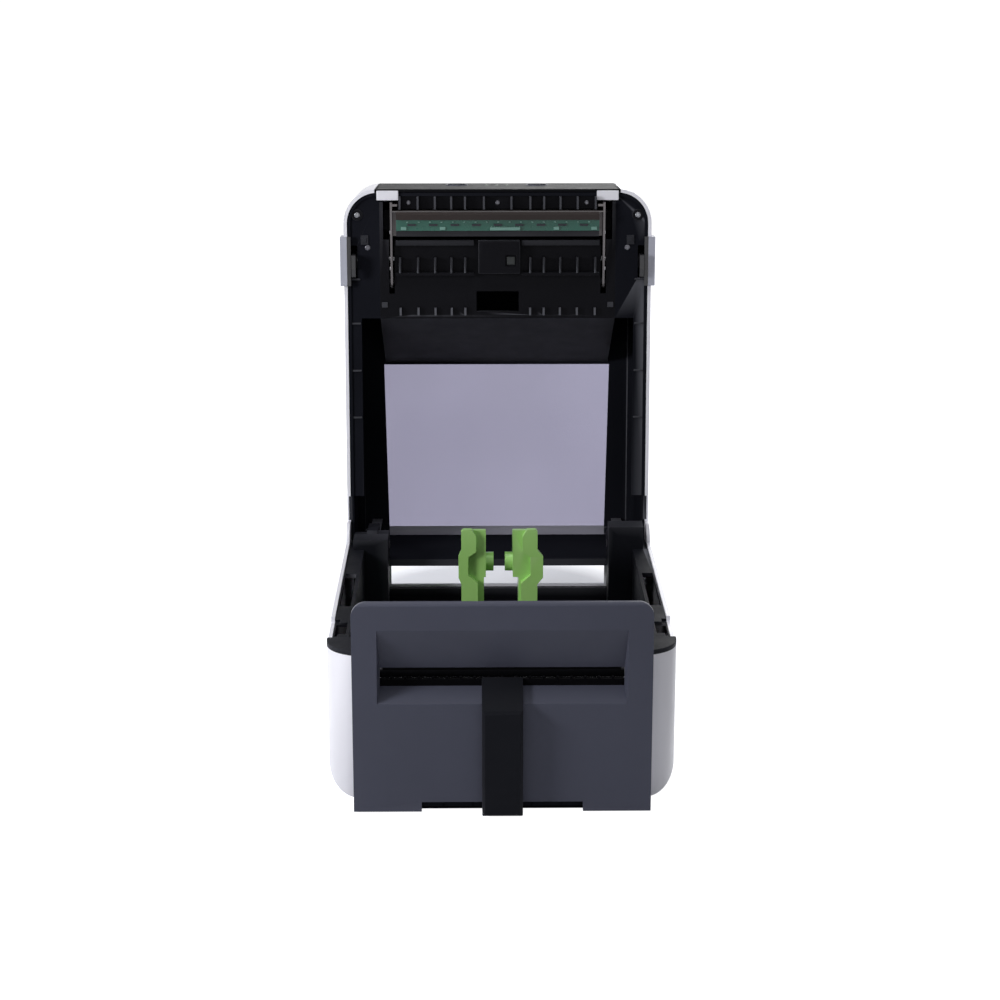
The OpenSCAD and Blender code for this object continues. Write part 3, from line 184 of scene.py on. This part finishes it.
def metal(name, rgb, rough, stretch=(1, 1, 1), streak=200):
    """Bare metal with streaks from rolling, turning or grinding, along the axis that stretch leaves at 1."""
    mat, g = material(name)
    base = linear(rgb)
    spread = 0.08
    lines = g.noise(streak, 5, 0.6, stretch)
    g.show(g.add("ShaderNodeBsdfPrincipled", {
        "Metallic": 1.0,
        "Base Color": g.ramp(g.noise(35, 3), toned(base, 0.88), toned(base, 1.05)),
        "Roughness": g.remap(lines, max(0.05, rough - spread), rough + spread),
        "Normal": g.bump(lines, 0.1),
    }))
    return mat


def window_plastic(name, rgb, sheen):
    """Smoked clear plastic: tinted light passes, with a soft sheen and hairline scuffs."""
    mat, g = material(name)
    base = linear(rgb)
    scuff = g.noise(60, 2, 0.5, (1, 0.15, 1))
    gloss = g.add("ShaderNodeBsdfPrincipled", {
        "Base Color": (*toned(base, 0.5), 1),
        "Roughness": g.remap(scuff, 0.1, 0.16),
    })
    tint = g.ramp(g.noise(9, 2), toned(base, 0.97), toned(base, 1.03))
    clear = g.add("ShaderNodeBsdfTransparent", {"Color": tint})
    g.show(g.mix_shader(sheen, clear, gloss))
    return mat


GLINT = (92, 93, 100)             # painted highlight on the rounded edges of a black moulding
ALONG_X = (1, 18, 18)             # stretches for streaks that run along one axis
ALONG_Y = (18, 1, 18)
ALONG_Z = (18, 18, 1)
# The finishes that the record's material slots name
# The glint colours here and below are painted highlights along rounded edges.
M = {
    "white_shell": moulded("white_shell", (234, 234, 243), 0.36, spread=0.06, tone=0.012, grain=0.6,
                           grain_scale=2200, coat=0.12),
    "black_moulding": moulded("black_moulding", (14, 14, 18), 0.45, spread=0.07, tone=0.14, grain=1.3,
                              spec=0.045, glint=GLINT),
    "slate_cover": moulded("slate_cover", (72, 74, 88), 0.45, tone=0.04, grain=1.2, grain_scale=2800,
                           spec=0.14, glint=(104, 106, 120)),
    "lime_guide": moulded("lime_guide", (161, 213, 120), 0.34, tone=0.04, grain=0.7, grain_scale=2000,
                          coat=0.1, glint=(170, 212, 134)),
    "latch_grey": moulded("latch_grey", (170, 172, 186), 0.38, tone=0.03, grain=0.6, grain_scale=2200,
                          inner=(0.0881, (16, 16, 20))),
    "button_dark": moulded("button_dark", (30, 31, 37), 0.4, grain=0.8, grain_scale=2600, spec=0.1,
                           glint=GLINT),
    "led_lens": moulded("led_lens", (84, 120, 88), 0.2, spread=0.03, grain=0.2, grain_scale=2600, coat=0.4),
    "nylon": moulded("nylon", (222, 219, 203), 0.5, tone=0.03, grain=0.6, grain_scale=2000),
    "platen_rubber": moulded("platen_rubber", (24, 24, 25), 0.75, spread=0.06, tone=0.12, grain=2.4,
                             grain_scale=5200, spec=0.1),
    "foot_rubber": moulded("foot_rubber", (28, 28, 28), 0.85, tone=0.15, grain=2.0, grain_scale=3200,
                           spec=0.1),
    "circuit_board": moulded("circuit_board", (38, 86, 74), 0.3, spread=0.06, tone=0.16, grain_scale=900,
                             spec=0.3),
    "ceramic": moulded("ceramic", (40, 33, 32), 0.35, tone=0.1, grain=0.3, grain_scale=1500, spec=0.15),
    "steel": metal("steel", (150, 150, 154), 0.34, ALONG_X, 60),
    "blade_steel": metal("blade_steel", (205, 207, 211), 0.2, ALONG_Z, 70),
    "heat_sink": metal("heat_sink", (40, 40, 43), 0.5, (1, 25, 25), 40),
    "window_tint": window_plastic("window_tint", (196, 194, 206), 0.22),
}
# Own looks of single nodes, which keep the kind of material that their slot names
OWN = {
    # Painted light: the frame's black is black moulding made lighter, for light that its shaded towers lack.
    "base_frame": moulded("frame_black", (23, 24, 29), 0.5, spread=0.07, tone=0.14, grain=1.3, spec=0.03,
                          glint=GLINT),
    # Painted light: the liner's black is black moulding made lighter, for fill light that the lid's shaded
    # inside lacks.
    "lid_liner": moulded("liner_black", (26, 27, 33), 0.7, spread=0.07, tone=0.14, grain=1.3, spec=0.0,
                         glint=GLINT),
    "exit_tongue": moulded("tongue_black", (22, 23, 28), 0.5, spread=0.06, tone=0.08, spec=0.04,
                           glint=(58, 59, 66)),
    "lid_front_panel": moulded("panel_black", (13, 13, 16), 0.5, spread=0.06, tone=0.08, spec=0.03),
    "head_bracket": metal("bracket_steel", (92, 89, 90), 0.42, ALONG_Y, 70),
    "platen_shaft": metal("oiled_steel", (58, 58, 62), 0.55, ALONG_Z, 70),
    "platen_roller": moulded("roller_black", (16, 16, 18), 0.8, tone=0.12, grain=2.4, grain_scale=5200,
                             spec=0.02),
    "slot_guide": moulded("slot_black", (11, 11, 14), 0.7, spread=0.06, tone=0.1, spec=0.01),
}
# Looks of the pieces made below
GOLD = metal("gold_contact", (214, 176, 92), 0.25)
BLACK_SCREW = metal("black_screw", (92, 92, 98), 0.35)
BRIGHT_SCREW = metal("bright_screw", (128, 129, 134), 0.25)
PALE_TEAL = moulded("pale_teal", (98, 138, 128), 0.4, tone=0.08, grain=0.8)
PAD_GREY = moulded("pad_grey", (44, 45, 50), 0.7, tone=0.15, grain=1.6, grain_scale=3400, spec=0.1)
EDGING = moulded("window_edging", (140, 139, 152), 0.4, tone=0.1, grain=0.5, grain_scale=2200, spec=0.1)
FLOOR_BLACK = moulded("floor_black", (20, 21, 27), 0.55, spread=0.06, tone=0.1, grain=1.2, spec=0.03)
LENS_GREY = moulded("lens_grey", (40, 43, 44), 0.3, spread=0.04, tone=0.1, grain=0.2, grain_scale=2000,
                    spec=0.2)

slot_of = {s["node"]: s["material_slot"] for s in frame["record"]["subparts"]}
for name, obj in nodes.items():
    mat = OWN.get(name, M[slot_of[name]])
    if obj.material_slots:
        for s in obj.material_slots:
            s.material = mat
    else:
        obj.data.materials.append(mat)


# ------------------------------------------------- rounded edges on CAD nodes

def round_edges(obj, width, angle, miter="MITER_SHARP"):
    """Rounds the edges that turn by more than angle degrees by width metres, as a mould would."""
    bevel = obj.modifiers.new("edge", "BEVEL")
    bevel.width = width
    bevel.segments = 2
    bevel.limit_method = "ANGLE"
    bevel.angle_limit = math.radians(angle)
    bevel.harden_normals = True
    bevel.miter_outer = miter


EDGES = {
    0.0007: ("media_guide_left", "media_guide_right", "exit_tongue", "latch_left", "latch_right"),
    0.0004: ("cutter_cover", "base_frame", "lid_front_panel", "rear_panel", "upper_sensor",
             "power_button", "feed_button", "lid_tabs", "bottom_plate"),
    0.00022: ("lid_liner", "head_frame", "front_guide", "front_deck", "slot_guide", "roll_bay",
              "sensor_carriage", "lid_shell", "base_shell"),
}
for edge_width, softened in EDGES.items():
    for name in softened:
        weld = nodes[name].modifiers.new("weld", "WELD")
        weld.merge_threshold = 0.000002
        round_edges(nodes[name], edge_width, 28, "MITER_ARC")


# ------------------------------------------------------------------- places
# Pieces are drawn in millimetres from the body's middle, with the lid closed. BASE brings them to
# where the body stands, and LID to where the open lid does.

MM = 0.001
shell_low, shell_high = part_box("base_shell")
BASE = Matrix.Translation((0, (shell_low.y + shell_high.y) / 2, 0)) @ Matrix.Scale(MM, 4)
lid_hinge = next(j for j in frame["record"]["behaviour"]["joints"] if j["name"] == "lid_hinge")
hinge = Vector(lid_hinge["pos_m"])
opened = Matrix.Rotation(-math.radians(lid_hinge["range_deg"][1]), 4, "X")
LID = Matrix.Translation(hinge) @ opened @ Matrix.Translation(-hinge) @ BASE


def limits(node, place):
    """Lowest and highest corner of a CAD node in the millimetres that pieces are drawn in."""
    back = place.inverted()
    corners = [back @ vert.co for vert in nodes[node].data.vertices]
    return [Vector([pick(corner[axis] for corner in corners) for axis in range(3)]) for pick in (min, max)]


FRONT = limits("base_shell", BASE)[0].y       # front and rear of the body
REAR = limits("base_shell", BASE)[1].y
GUIDE_Z = limits("lid_screws", LID)[1].z      # underside of the closed lid's mouldings, under the screws
BOSS_X = 82                                   # bosses beside the print head, with a screw in each
BOSS_Y = FRONT + 15
BOTH = (-1, 1)                                # left and right
FORWARD = (0, -1, 0)
BACKWARD = (0, 1, 0)
DOWN = (0, 0, -1)


# ------------------------------------------------------------------- shapes

def row(count, pitch, middle=0.0):
    """Places of a number of like things, evenly spaced about the middle."""
    return [middle + (k - (count - 1) / 2) * pitch for k in range(count)]


def turns_of(steps):
    """The angles of a ring's vertices."""
    return [2 * math.pi * k / steps for k in range(steps)]


def facing(x, y, z, way):
    """Matrix that stands a turned shape at a place with its Z along way."""
    turn = Vector(way).to_track_quat("Z", "Y").to_matrix().to_4x4()
    return Matrix.Translation((x, y, z)) @ turn


def block(bm, x, y, z):
    """Adds a box from three (low, high) pairs."""
    mid = [(low + high) / 2 for low, high in (x, y, z)]
    size = [high - low for low, high in (x, y, z)]
    bmesh.ops.create_cube(bm, size=1, matrix=Matrix.Translation(mid) @ Matrix.Diagonal((*size, 1)))


def hung(bm, spots, face, size, sunk=0.2):
    """Adds blocks of one (width, depth, height) under a face that looks down, let into it by sunk."""
    width, depth, height = size
    for x, y in spots:
        block(bm, (x - width / 2, x + width / 2), (y - depth / 2, y + depth / 2),
              (face - height, face + sunk))


def skin(bm, rings, foot=True):
    """Joins rings of vertices one to the next, and closes the last one, and with foot the first."""
    for low, high in zip(rings, rings[1:]):
        for i in range(len(low)):
            j = (i + 1) % len(low)
            bm.faces.new((low[i], low[j], high[j], high[i]))
    if foot:
        bm.faces.new(list(reversed(rings[0])))
    bm.faces.new(rings[-1])


def lathe(bm, profile, place, steps=24):
    """Adds a turned shape: profile holds (radius, height) pairs along place's own Z."""
    skin(bm, [[bm.verts.new(place @ Vector((radius * math.cos(a), radius * math.sin(a), height)))
               for a in turns_of(steps)] for radius, height in profile])


def tube(bm, points, radius, steps):
    """Adds a round wire through the points."""
    askew = Vector((0.31, 0.2, 0.93))             # a way that no wire here runs along
    rings = []
    for i, point in enumerate(points):
        ahead = (points[min(i + 1, len(points) - 1)] - points[max(i - 1, 0)]).normalized()
        side = ahead.cross(askew).normalized()
        up = side.cross(ahead)
        rings.append([bm.verts.new(point + radius * (math.cos(a) * side + math.sin(a) * up))
                      for a in turns_of(steps)])
    skin(bm, rings)


def screw_head(bm, place, radius, height):
    """Adds a domed screw head with a cross recess between four raised quarters."""
    lathe(bm, [(radius, 0), (radius, height * 0.45), (radius * 0.82, height * 0.62)], place, 20)
    for k in range(4):
        quarter = place @ Matrix.Rotation(math.radians(45 + 90 * k), 4, "Z")
        rings = []
        for reach, level in ((radius * 0.86, height * 0.5), (radius * 0.6, height)):
            corners = [(reach * math.cos(math.radians(a)), reach * math.sin(math.radians(a)))
                       for a in (-34, -12, 12, 34)]
            corners.append((radius * 0.16, 0))
            rings.append([bm.verts.new(quarter @ Vector((x, y, level))) for x, y in corners])
        skin(bm, rings, foot=False)


def piece(name, bm, slot, body, place, edge=0.0, material=None):
    """Makes an object of the mesh, rounds its edges by edge mm and hangs it on a body."""
    crease = 32
    mesh = bpy.data.meshes.new(name)
    bmesh.ops.recalc_face_normals(bm, faces=bm.faces)
    bm.to_mesh(mesh)
    bm.free()
    mesh.transform(place)
    mesh.materials.append(material or M[slot])
    for poly in mesh.polygons:
        poly.use_smooth = True
    mesh.set_sharp_from_angle(angle=math.radians(crease))
    obj = bpy.data.objects.new(name, mesh)
    scene.collection.objects.link(obj)
    if edge:
        round_edges(obj, edge * MM, crease)
    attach(obj, body)
    return obj


# ----------------------------------------------------------------------- lid

def head_parts():
    """Parts soldered to the head's board: small and large capacitors, the socket and the chips."""
    low, high = limits("head_board", LID)
    front, back = low.y, high.y
    solder = 0.1
    bm = bmesh.new()
    hung(bm, [(x, front + 1.35) for x in row(17, 6.6, 0.35)], low.z, (1.1, 0.7, 0.45), solder)
    hung(bm, [(x, back - 1.4) for x in (-54.6, -32, 34, 56)], low.z, (3.2, 1.8, 1.1), solder)
    piece("head_capacitors", bm, "nylon", "head", LID, 0.12, PALE_TEAL)
    bm = bmesh.new()
    hung(bm, [(4.25, back - 1.15)], low.z, (17.5, 1.7, 1.5), solder)
    hung(bm, [(x, back - 2.25) for x in row(12, 1.45, 4.625)], low.z, (0.5, 0.7, 0.5), solder)
    piece("head_socket", bm, "nylon", "head", LID, 0.12, PALE_TEAL)
    bm = bmesh.new()
    hung(bm, [(x, front + 3) for x in row(9, 12.5)], low.z, (4.8, 1.2, 0.8), solder)
    piece("head_chips", bm, "black_moulding", "head", LID, 0.12)


def head_rivets():
    """Round rivets on the outside of the two bracket arms."""
    arm = limits("head_bracket", LID)[1].x
    dome = [(1.3, 0), (1.25, 0.35), (0.8, 0.6), (0.2, 0.68)]
    bm = bmesh.new()
    for s in BOTH:
        for y in (FRONT + 25, FRONT + 46):
            lathe(bm, dome, facing(s * arm, y, GUIDE_Z - 1.5, (s, 0, 0)), 16)
    piece("head_rivets", bm, "steel", "head", LID)


def coil(x, y, low, high, radius, wire, turns):
    """Points along a coil spring whose last 0.8 of a turn lies closed at each end."""
    closed = 0.8
    steps = 20
    points = []
    for i in range(turns * steps + 1):
        t = i / steps
        in_ends = min(t, closed) + max(t - turns + closed, 0)
        in_open = min(max((t - closed) / (turns - 2 * closed), 0), 1)
        z = low + wire + in_open * (high - low - 4 * wire) + wire * in_ends / closed
        a = 2 * math.pi * t
        points.append(Vector((x + radius * math.cos(a), y + radius * math.sin(a), z)))
    return points


def head_coils():
    """Round coil springs over the head, drawn at one length, though the real ones give as the head turns."""
    box_low, box_high = limits("head_springs", LID)
    y = (box_low.y + box_high.y) / 2
    low, high = GUIDE_Z + 4, GUIDE_Z + 14
    wire = 0.45
    bm = bmesh.new()
    for s in BOTH:
        tube(bm, coil(s * 30, y, low, high, 3.5, wire, 6), wire, 10)
    coils = piece("head_coils", bm, "steel", "lid", LID)
    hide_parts("head_springs")
    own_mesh(coils)


def lid_screws():
    """Cross-head screws in the lid, which stand for the plain ones of the solids."""
    height = 0.8
    bm = bmesh.new()
    for x in (-52, 0, 52):
        screw_head(bm, facing(x, FRONT + 8, GUIDE_Z, DOWN), 1.3, height)
    for s in BOTH:
        screw_head(bm, facing(s * 76, FRONT + 34, GUIDE_Z, DOWN), 1.5, height)
    dark = piece("lid_front_screws", bm, "steel", "lid", LID, 0, BLACK_SCREW)
    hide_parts("lid_screws")
    bm = bmesh.new()
    for s in BOTH:
        screw_head(bm, facing(s * BOSS_X, BOSS_Y, GUIDE_Z, DOWN), 1.5, height)
    piece("lid_side_screws", bm, "steel", "lid", LID, 0, BRIGHT_SCREW)


def lid_ribs():
    """Bosses, clips and stiffening ribs moulded into the black inside of the lid."""
    collar = [(3.4, 0), (3.2, 0.5), (2.2, 0.5), (2.2, 0.1)]
    bm = bmesh.new()
    for s in BOTH:
        lathe(bm, collar, facing(s * BOSS_X, BOSS_Y, GUIDE_Z, DOWN))
        hung(bm, [(s * 66.3, FRONT + 67.5)], GUIDE_Z, (3.4, 3.0, 0.9))
        hung(bm, [(s * 83.05, FRONT + y) for y in (52.5, 78.5, 106.5, 134.5)], GUIDE_Z, (5.1, 1.0, 0.7))
    piece("lid_inner_ribs", bm, "black_moulding", "lid", LID, 0.18)


def lid_pads():
    """Stepped pads on the two sides of the lid."""
    step = 0.7
    bm = bmesh.new()
    for s in BOTH:
        spot = [(s * 77.8, FRONT + 29.5)]
        hung(bm, spot, GUIDE_Z, (4.4, 5.4, step))
        hung(bm, spot, GUIDE_Z - step, (2.4, 2.6, 0.4))
    piece("lid_side_pads", bm, "button_dark", "lid", LID, 0.2, PAD_GREY)


def button_rings():
    """Rounded collar round each button in the lid's front panel."""
    collar = [(6.0, 0.0), (6.9, 0.0), (6.9, 0.12), (6.6, 0.38), (6.2, 0.4), (5.95, 0.2), (5.9, 0.0)]
    bm = bmesh.new()
    for button in ("feed_button", "power_button"):
        low, high = limits(button, LID)
        lathe(bm, collar, facing((low.x + high.x) / 2, FRONT, (low.z + high.z) / 2, FORWARD), 40)
    piece("button_collars", bm, "slate_cover", "lid", LID)


def window_trim():
    """Smoked strip inside the window, along the curve at its rear edge."""
    curve = 11                                    # radius of the lid's upper rear edge
    outer = curve - 2.03
    inner = curve - 2.4
    reach = 68.3
    middle = Vector((0, REAR - curve, limits("lid_shell", LID)[1].z - curve))
    bm = bmesh.new()
    rings = []
    for k in range(11):
        a = math.radians(13.5 + 5.2 * k)
        out = Vector((0, math.sin(a), math.cos(a)))
        rings.append([bm.verts.new(middle + radius * out + Vector((x, 0, 0)))
                      for x, radius in ((-reach, outer), (reach, outer), (reach, inner), (-reach, inner))])
    skin(bm, rings)
    piece("window_edging", bm, "window_tint", "lid", LID, 0, EDGING)


def sensor_lens():
    """Square lens in the upper label sensor's recess."""
    low, high = limits("upper_sensor", LID)
    x = high.x - 5.25
    y = (low.y + high.y) / 2 + 2.25
    half = 2.35
    bm = bmesh.new()
    block(bm, (x - half, x + half), (y - half, y + half), (low.z + 0.7, low.z + 1.6))
    piece("sensor_lens", bm, "led_lens", "lid", LID, 0.5, LENS_GREY)


# ---------------------------------------------------------------------- base

def cutter_floor():
    """Ribbed floor that closes the underside of the cutter, with a lip behind the hand recess."""
    low, high = limits("cutter_cover", BASE)
    front, back = low.y + 3.6, high.y - 5.2
    half = 71
    bm = bmesh.new()
    block(bm, (-half, half), (front, back), (low.z + 0.5, low.z + 1.7))
    block(bm, (-half, half), (front, front + 1.4), (low.z + 0.3, low.z + 9))
    for x in row(9, 15):
        block(bm, (x - 0.5, x + 0.5), (front, front + 3), (low.z + 0.6, low.z + 6))
    piece("cutter_floor", bm, "black_moulding", "base", BASE, 0.25, FLOOR_BLACK)


def rear_screws():
    """A screw in each corner of the rear panel."""
    low, high = limits("rear_panel", BASE)
    bm = bmesh.new()
    for x in (low.x + 7, high.x - 7):
        for z in (low.z + 5.5, high.z - 5.5):
            screw_head(bm, facing(x, high.y, z, BACKWARD), 2.4, 0.9)
    piece("rear_panel_screws", bm, "steel", "base", BASE)


def network_fittings():
    """The network socket's eight sprung contacts, and the two lights over it."""
    low, high = limits("lan_port", BASE)
    bend = ((-16, 10.3), (-12.5, 10.1), (-9.5, 7.7), (-7.8, 6.3))     # (y from the rear, z from below)
    bm = bmesh.new()
    for k in range(8):
        x = low.x + 4.4 + 1.02 * k
        tube(bm, [Vector((x, high.y + y, low.z + z)) for y, z in bend], 0.2, 6)
    piece("network_contacts", bm, "blade_steel", "base", BASE, 0, GOLD)
    bm = bmesh.new()
    for x in (low.x + 2.8, high.x - 2.8):
        block(bm, (x - 1.1, x + 1.1), (high.y - 0.2, high.y + 0.3), (high.z + 0.4, high.z + 1.8))
    piece("network_lights", bm, "led_lens", "base", BASE, 0.15)


def usb_contacts():
    """Four flat contacts in the USB port."""
    low, high = limits("usb_port", BASE)
    bm = bmesh.new()
    for x in (low.x + 3.4, high.x - 3.4):
        for z in (low.z + 4.5, high.z - 4):
            block(bm, (x - 0.5, x + 0.5), (high.y - 14, high.y - 4), (z, z + 0.5))
    piece("usb_contacts", bm, "blade_steel", "base", BASE, 0.08, GOLD)


def bottom_screws():
    """Screws sunk in the bottom plate."""
    face = limits("bottom_plate", BASE)[0].z + 0.05
    bm = bmesh.new()
    for x in (-46, 46):
        for y in (-78, 78):
            screw_head(bm, facing(x, y, face, DOWN), 2.6, 0.9)
    piece("bottom_screws", bm, "steel", "base", BASE)


head_parts()
head_rivets()
head_coils()
lid_screws()
lid_ribs()
lid_pads()
button_rings()
window_trim()
sensor_lens()
cutter_floor()
rear_screws()
network_fittings()
usb_contacts()
bottom_screws()


# --------------------------------------------------- light, floor and camera

def area(name, loc, target, size, energy):
    """Adds an area lamp of (width, height) metres that looks at target."""
    light = bpy.data.lights.new(name, "AREA")
    light.energy = energy
    light.shape = "RECTANGLE"
    light.size, light.size_y = size
    obj = bpy.data.objects.new(name, light)
    obj.location = loc
    obj.rotation_euler = (Vector(target) - Vector(loc)).to_track_quat("-Z", "Y").to_euler()
    scene.collection.objects.link(obj)


def studio_world(strength):
    """White to the eye, in mirrors and through glass, but only a faint light on the object."""
    world = bpy.data.worlds.new("world")
    scene.world = world
    world.use_nodes = True
    g = Graph(world.node_tree, "ShaderNodeOutputWorld")
    white = (1, 1, 1, 1)
    lit = g.add("ShaderNodeBackground", {"Color": white, "Strength": strength})
    seen = g.add("ShaderNodeBackground", {"Color": white, "Strength": 1.0})
    g.show(g.mix_shader(g.seen_by("Is Camera Ray", "Is Transmission Ray", "Is Glossy Ray"), lit, seen))


def pale_floor():
    """Pale floor that takes shadows. For the eye and in mirrors it glows to white, and to all other
    rays it is plain grey. Near shade_at, behind the body, the glow is weaker: a painted shade."""
    shade_at = (0, 0.2, 0)
    mesh = bpy.data.meshes.new("floor")
    bm = bmesh.new()
    bmesh.ops.create_grid(bm, x_segments=1, y_segments=1, size=30)
    bm.to_mesh(mesh)
    bm.free()
    floor = bpy.data.objects.new("floor", mesh)
    floor.location = (0, 0, -0.0002)
    scene.collection.objects.link(floor)
    mat, g = material("floor_pale")
    # Painted shade: the glow falls from 1.0 to 0.18 within 0.13 m of shade_at.
    away = g.add("ShaderNodeVectorMath", {0: g.here(), 1: shade_at}, operation="DISTANCE")
    glow = g.remap(away.outputs["Value"], 0.18, 1.0, (0.085, 0.13))
    # The bluish tint shows only where the glow is weak, in the painted shade.
    pale = g.add("ShaderNodeBsdfDiffuse", {"Color": (0.8, 0.82, 0.9, 1)})
    bright = g.add("ShaderNodeEmission", {"Strength": glow})
    seen = g.add("ShaderNodeAddShader", {0: pale.outputs[0], 1: bright.outputs[0]})
    grey = g.add("ShaderNodeBsdfDiffuse", {"Color": (0.5, 0.5, 0.51, 1)})
    g.show(g.mix_shader(g.seen_by("Is Camera Ray", "Is Glossy Ray"), grey, seen))
    mesh.materials.append(mat)


def look_from(place, down, left):
    """Adds the camera, level but tilted down and turned left by some degrees."""
    view = bpy.data.cameras.new("camera")
    view.lens = 79.3
    view.sensor_width = 36.0
    view.clip_end = 100
    camera = bpy.data.objects.new("camera", view)
    camera.location = place
    camera.rotation_euler = (math.radians(90 - down), 0, math.radians(left))
    scene.collection.objects.link(camera)
    scene.camera = camera


area("key", (-0.6, -0.4, 0.4), (0, -0.1, 0.08), (0.18, 0.18), 3.3)
area("front", (0.0, -1.6, 0.5), (0, 0, 0.12), (1.0, 0.8), 1.6)
area("top", (-0.1, -0.35, 1.5), (0, 0, 0.1), (1.0, 0.8), 8)
area("back", (0.5, 1.3, 0.9), (0, 0, 0.15), (1.2, 0.8), 10)
studio_world(0.08)
pale_floor()
look_from((-0.0125, -1.1945, 0.4447), 15.02, -0.62)
scene.view_settings.view_transform = "Standard"
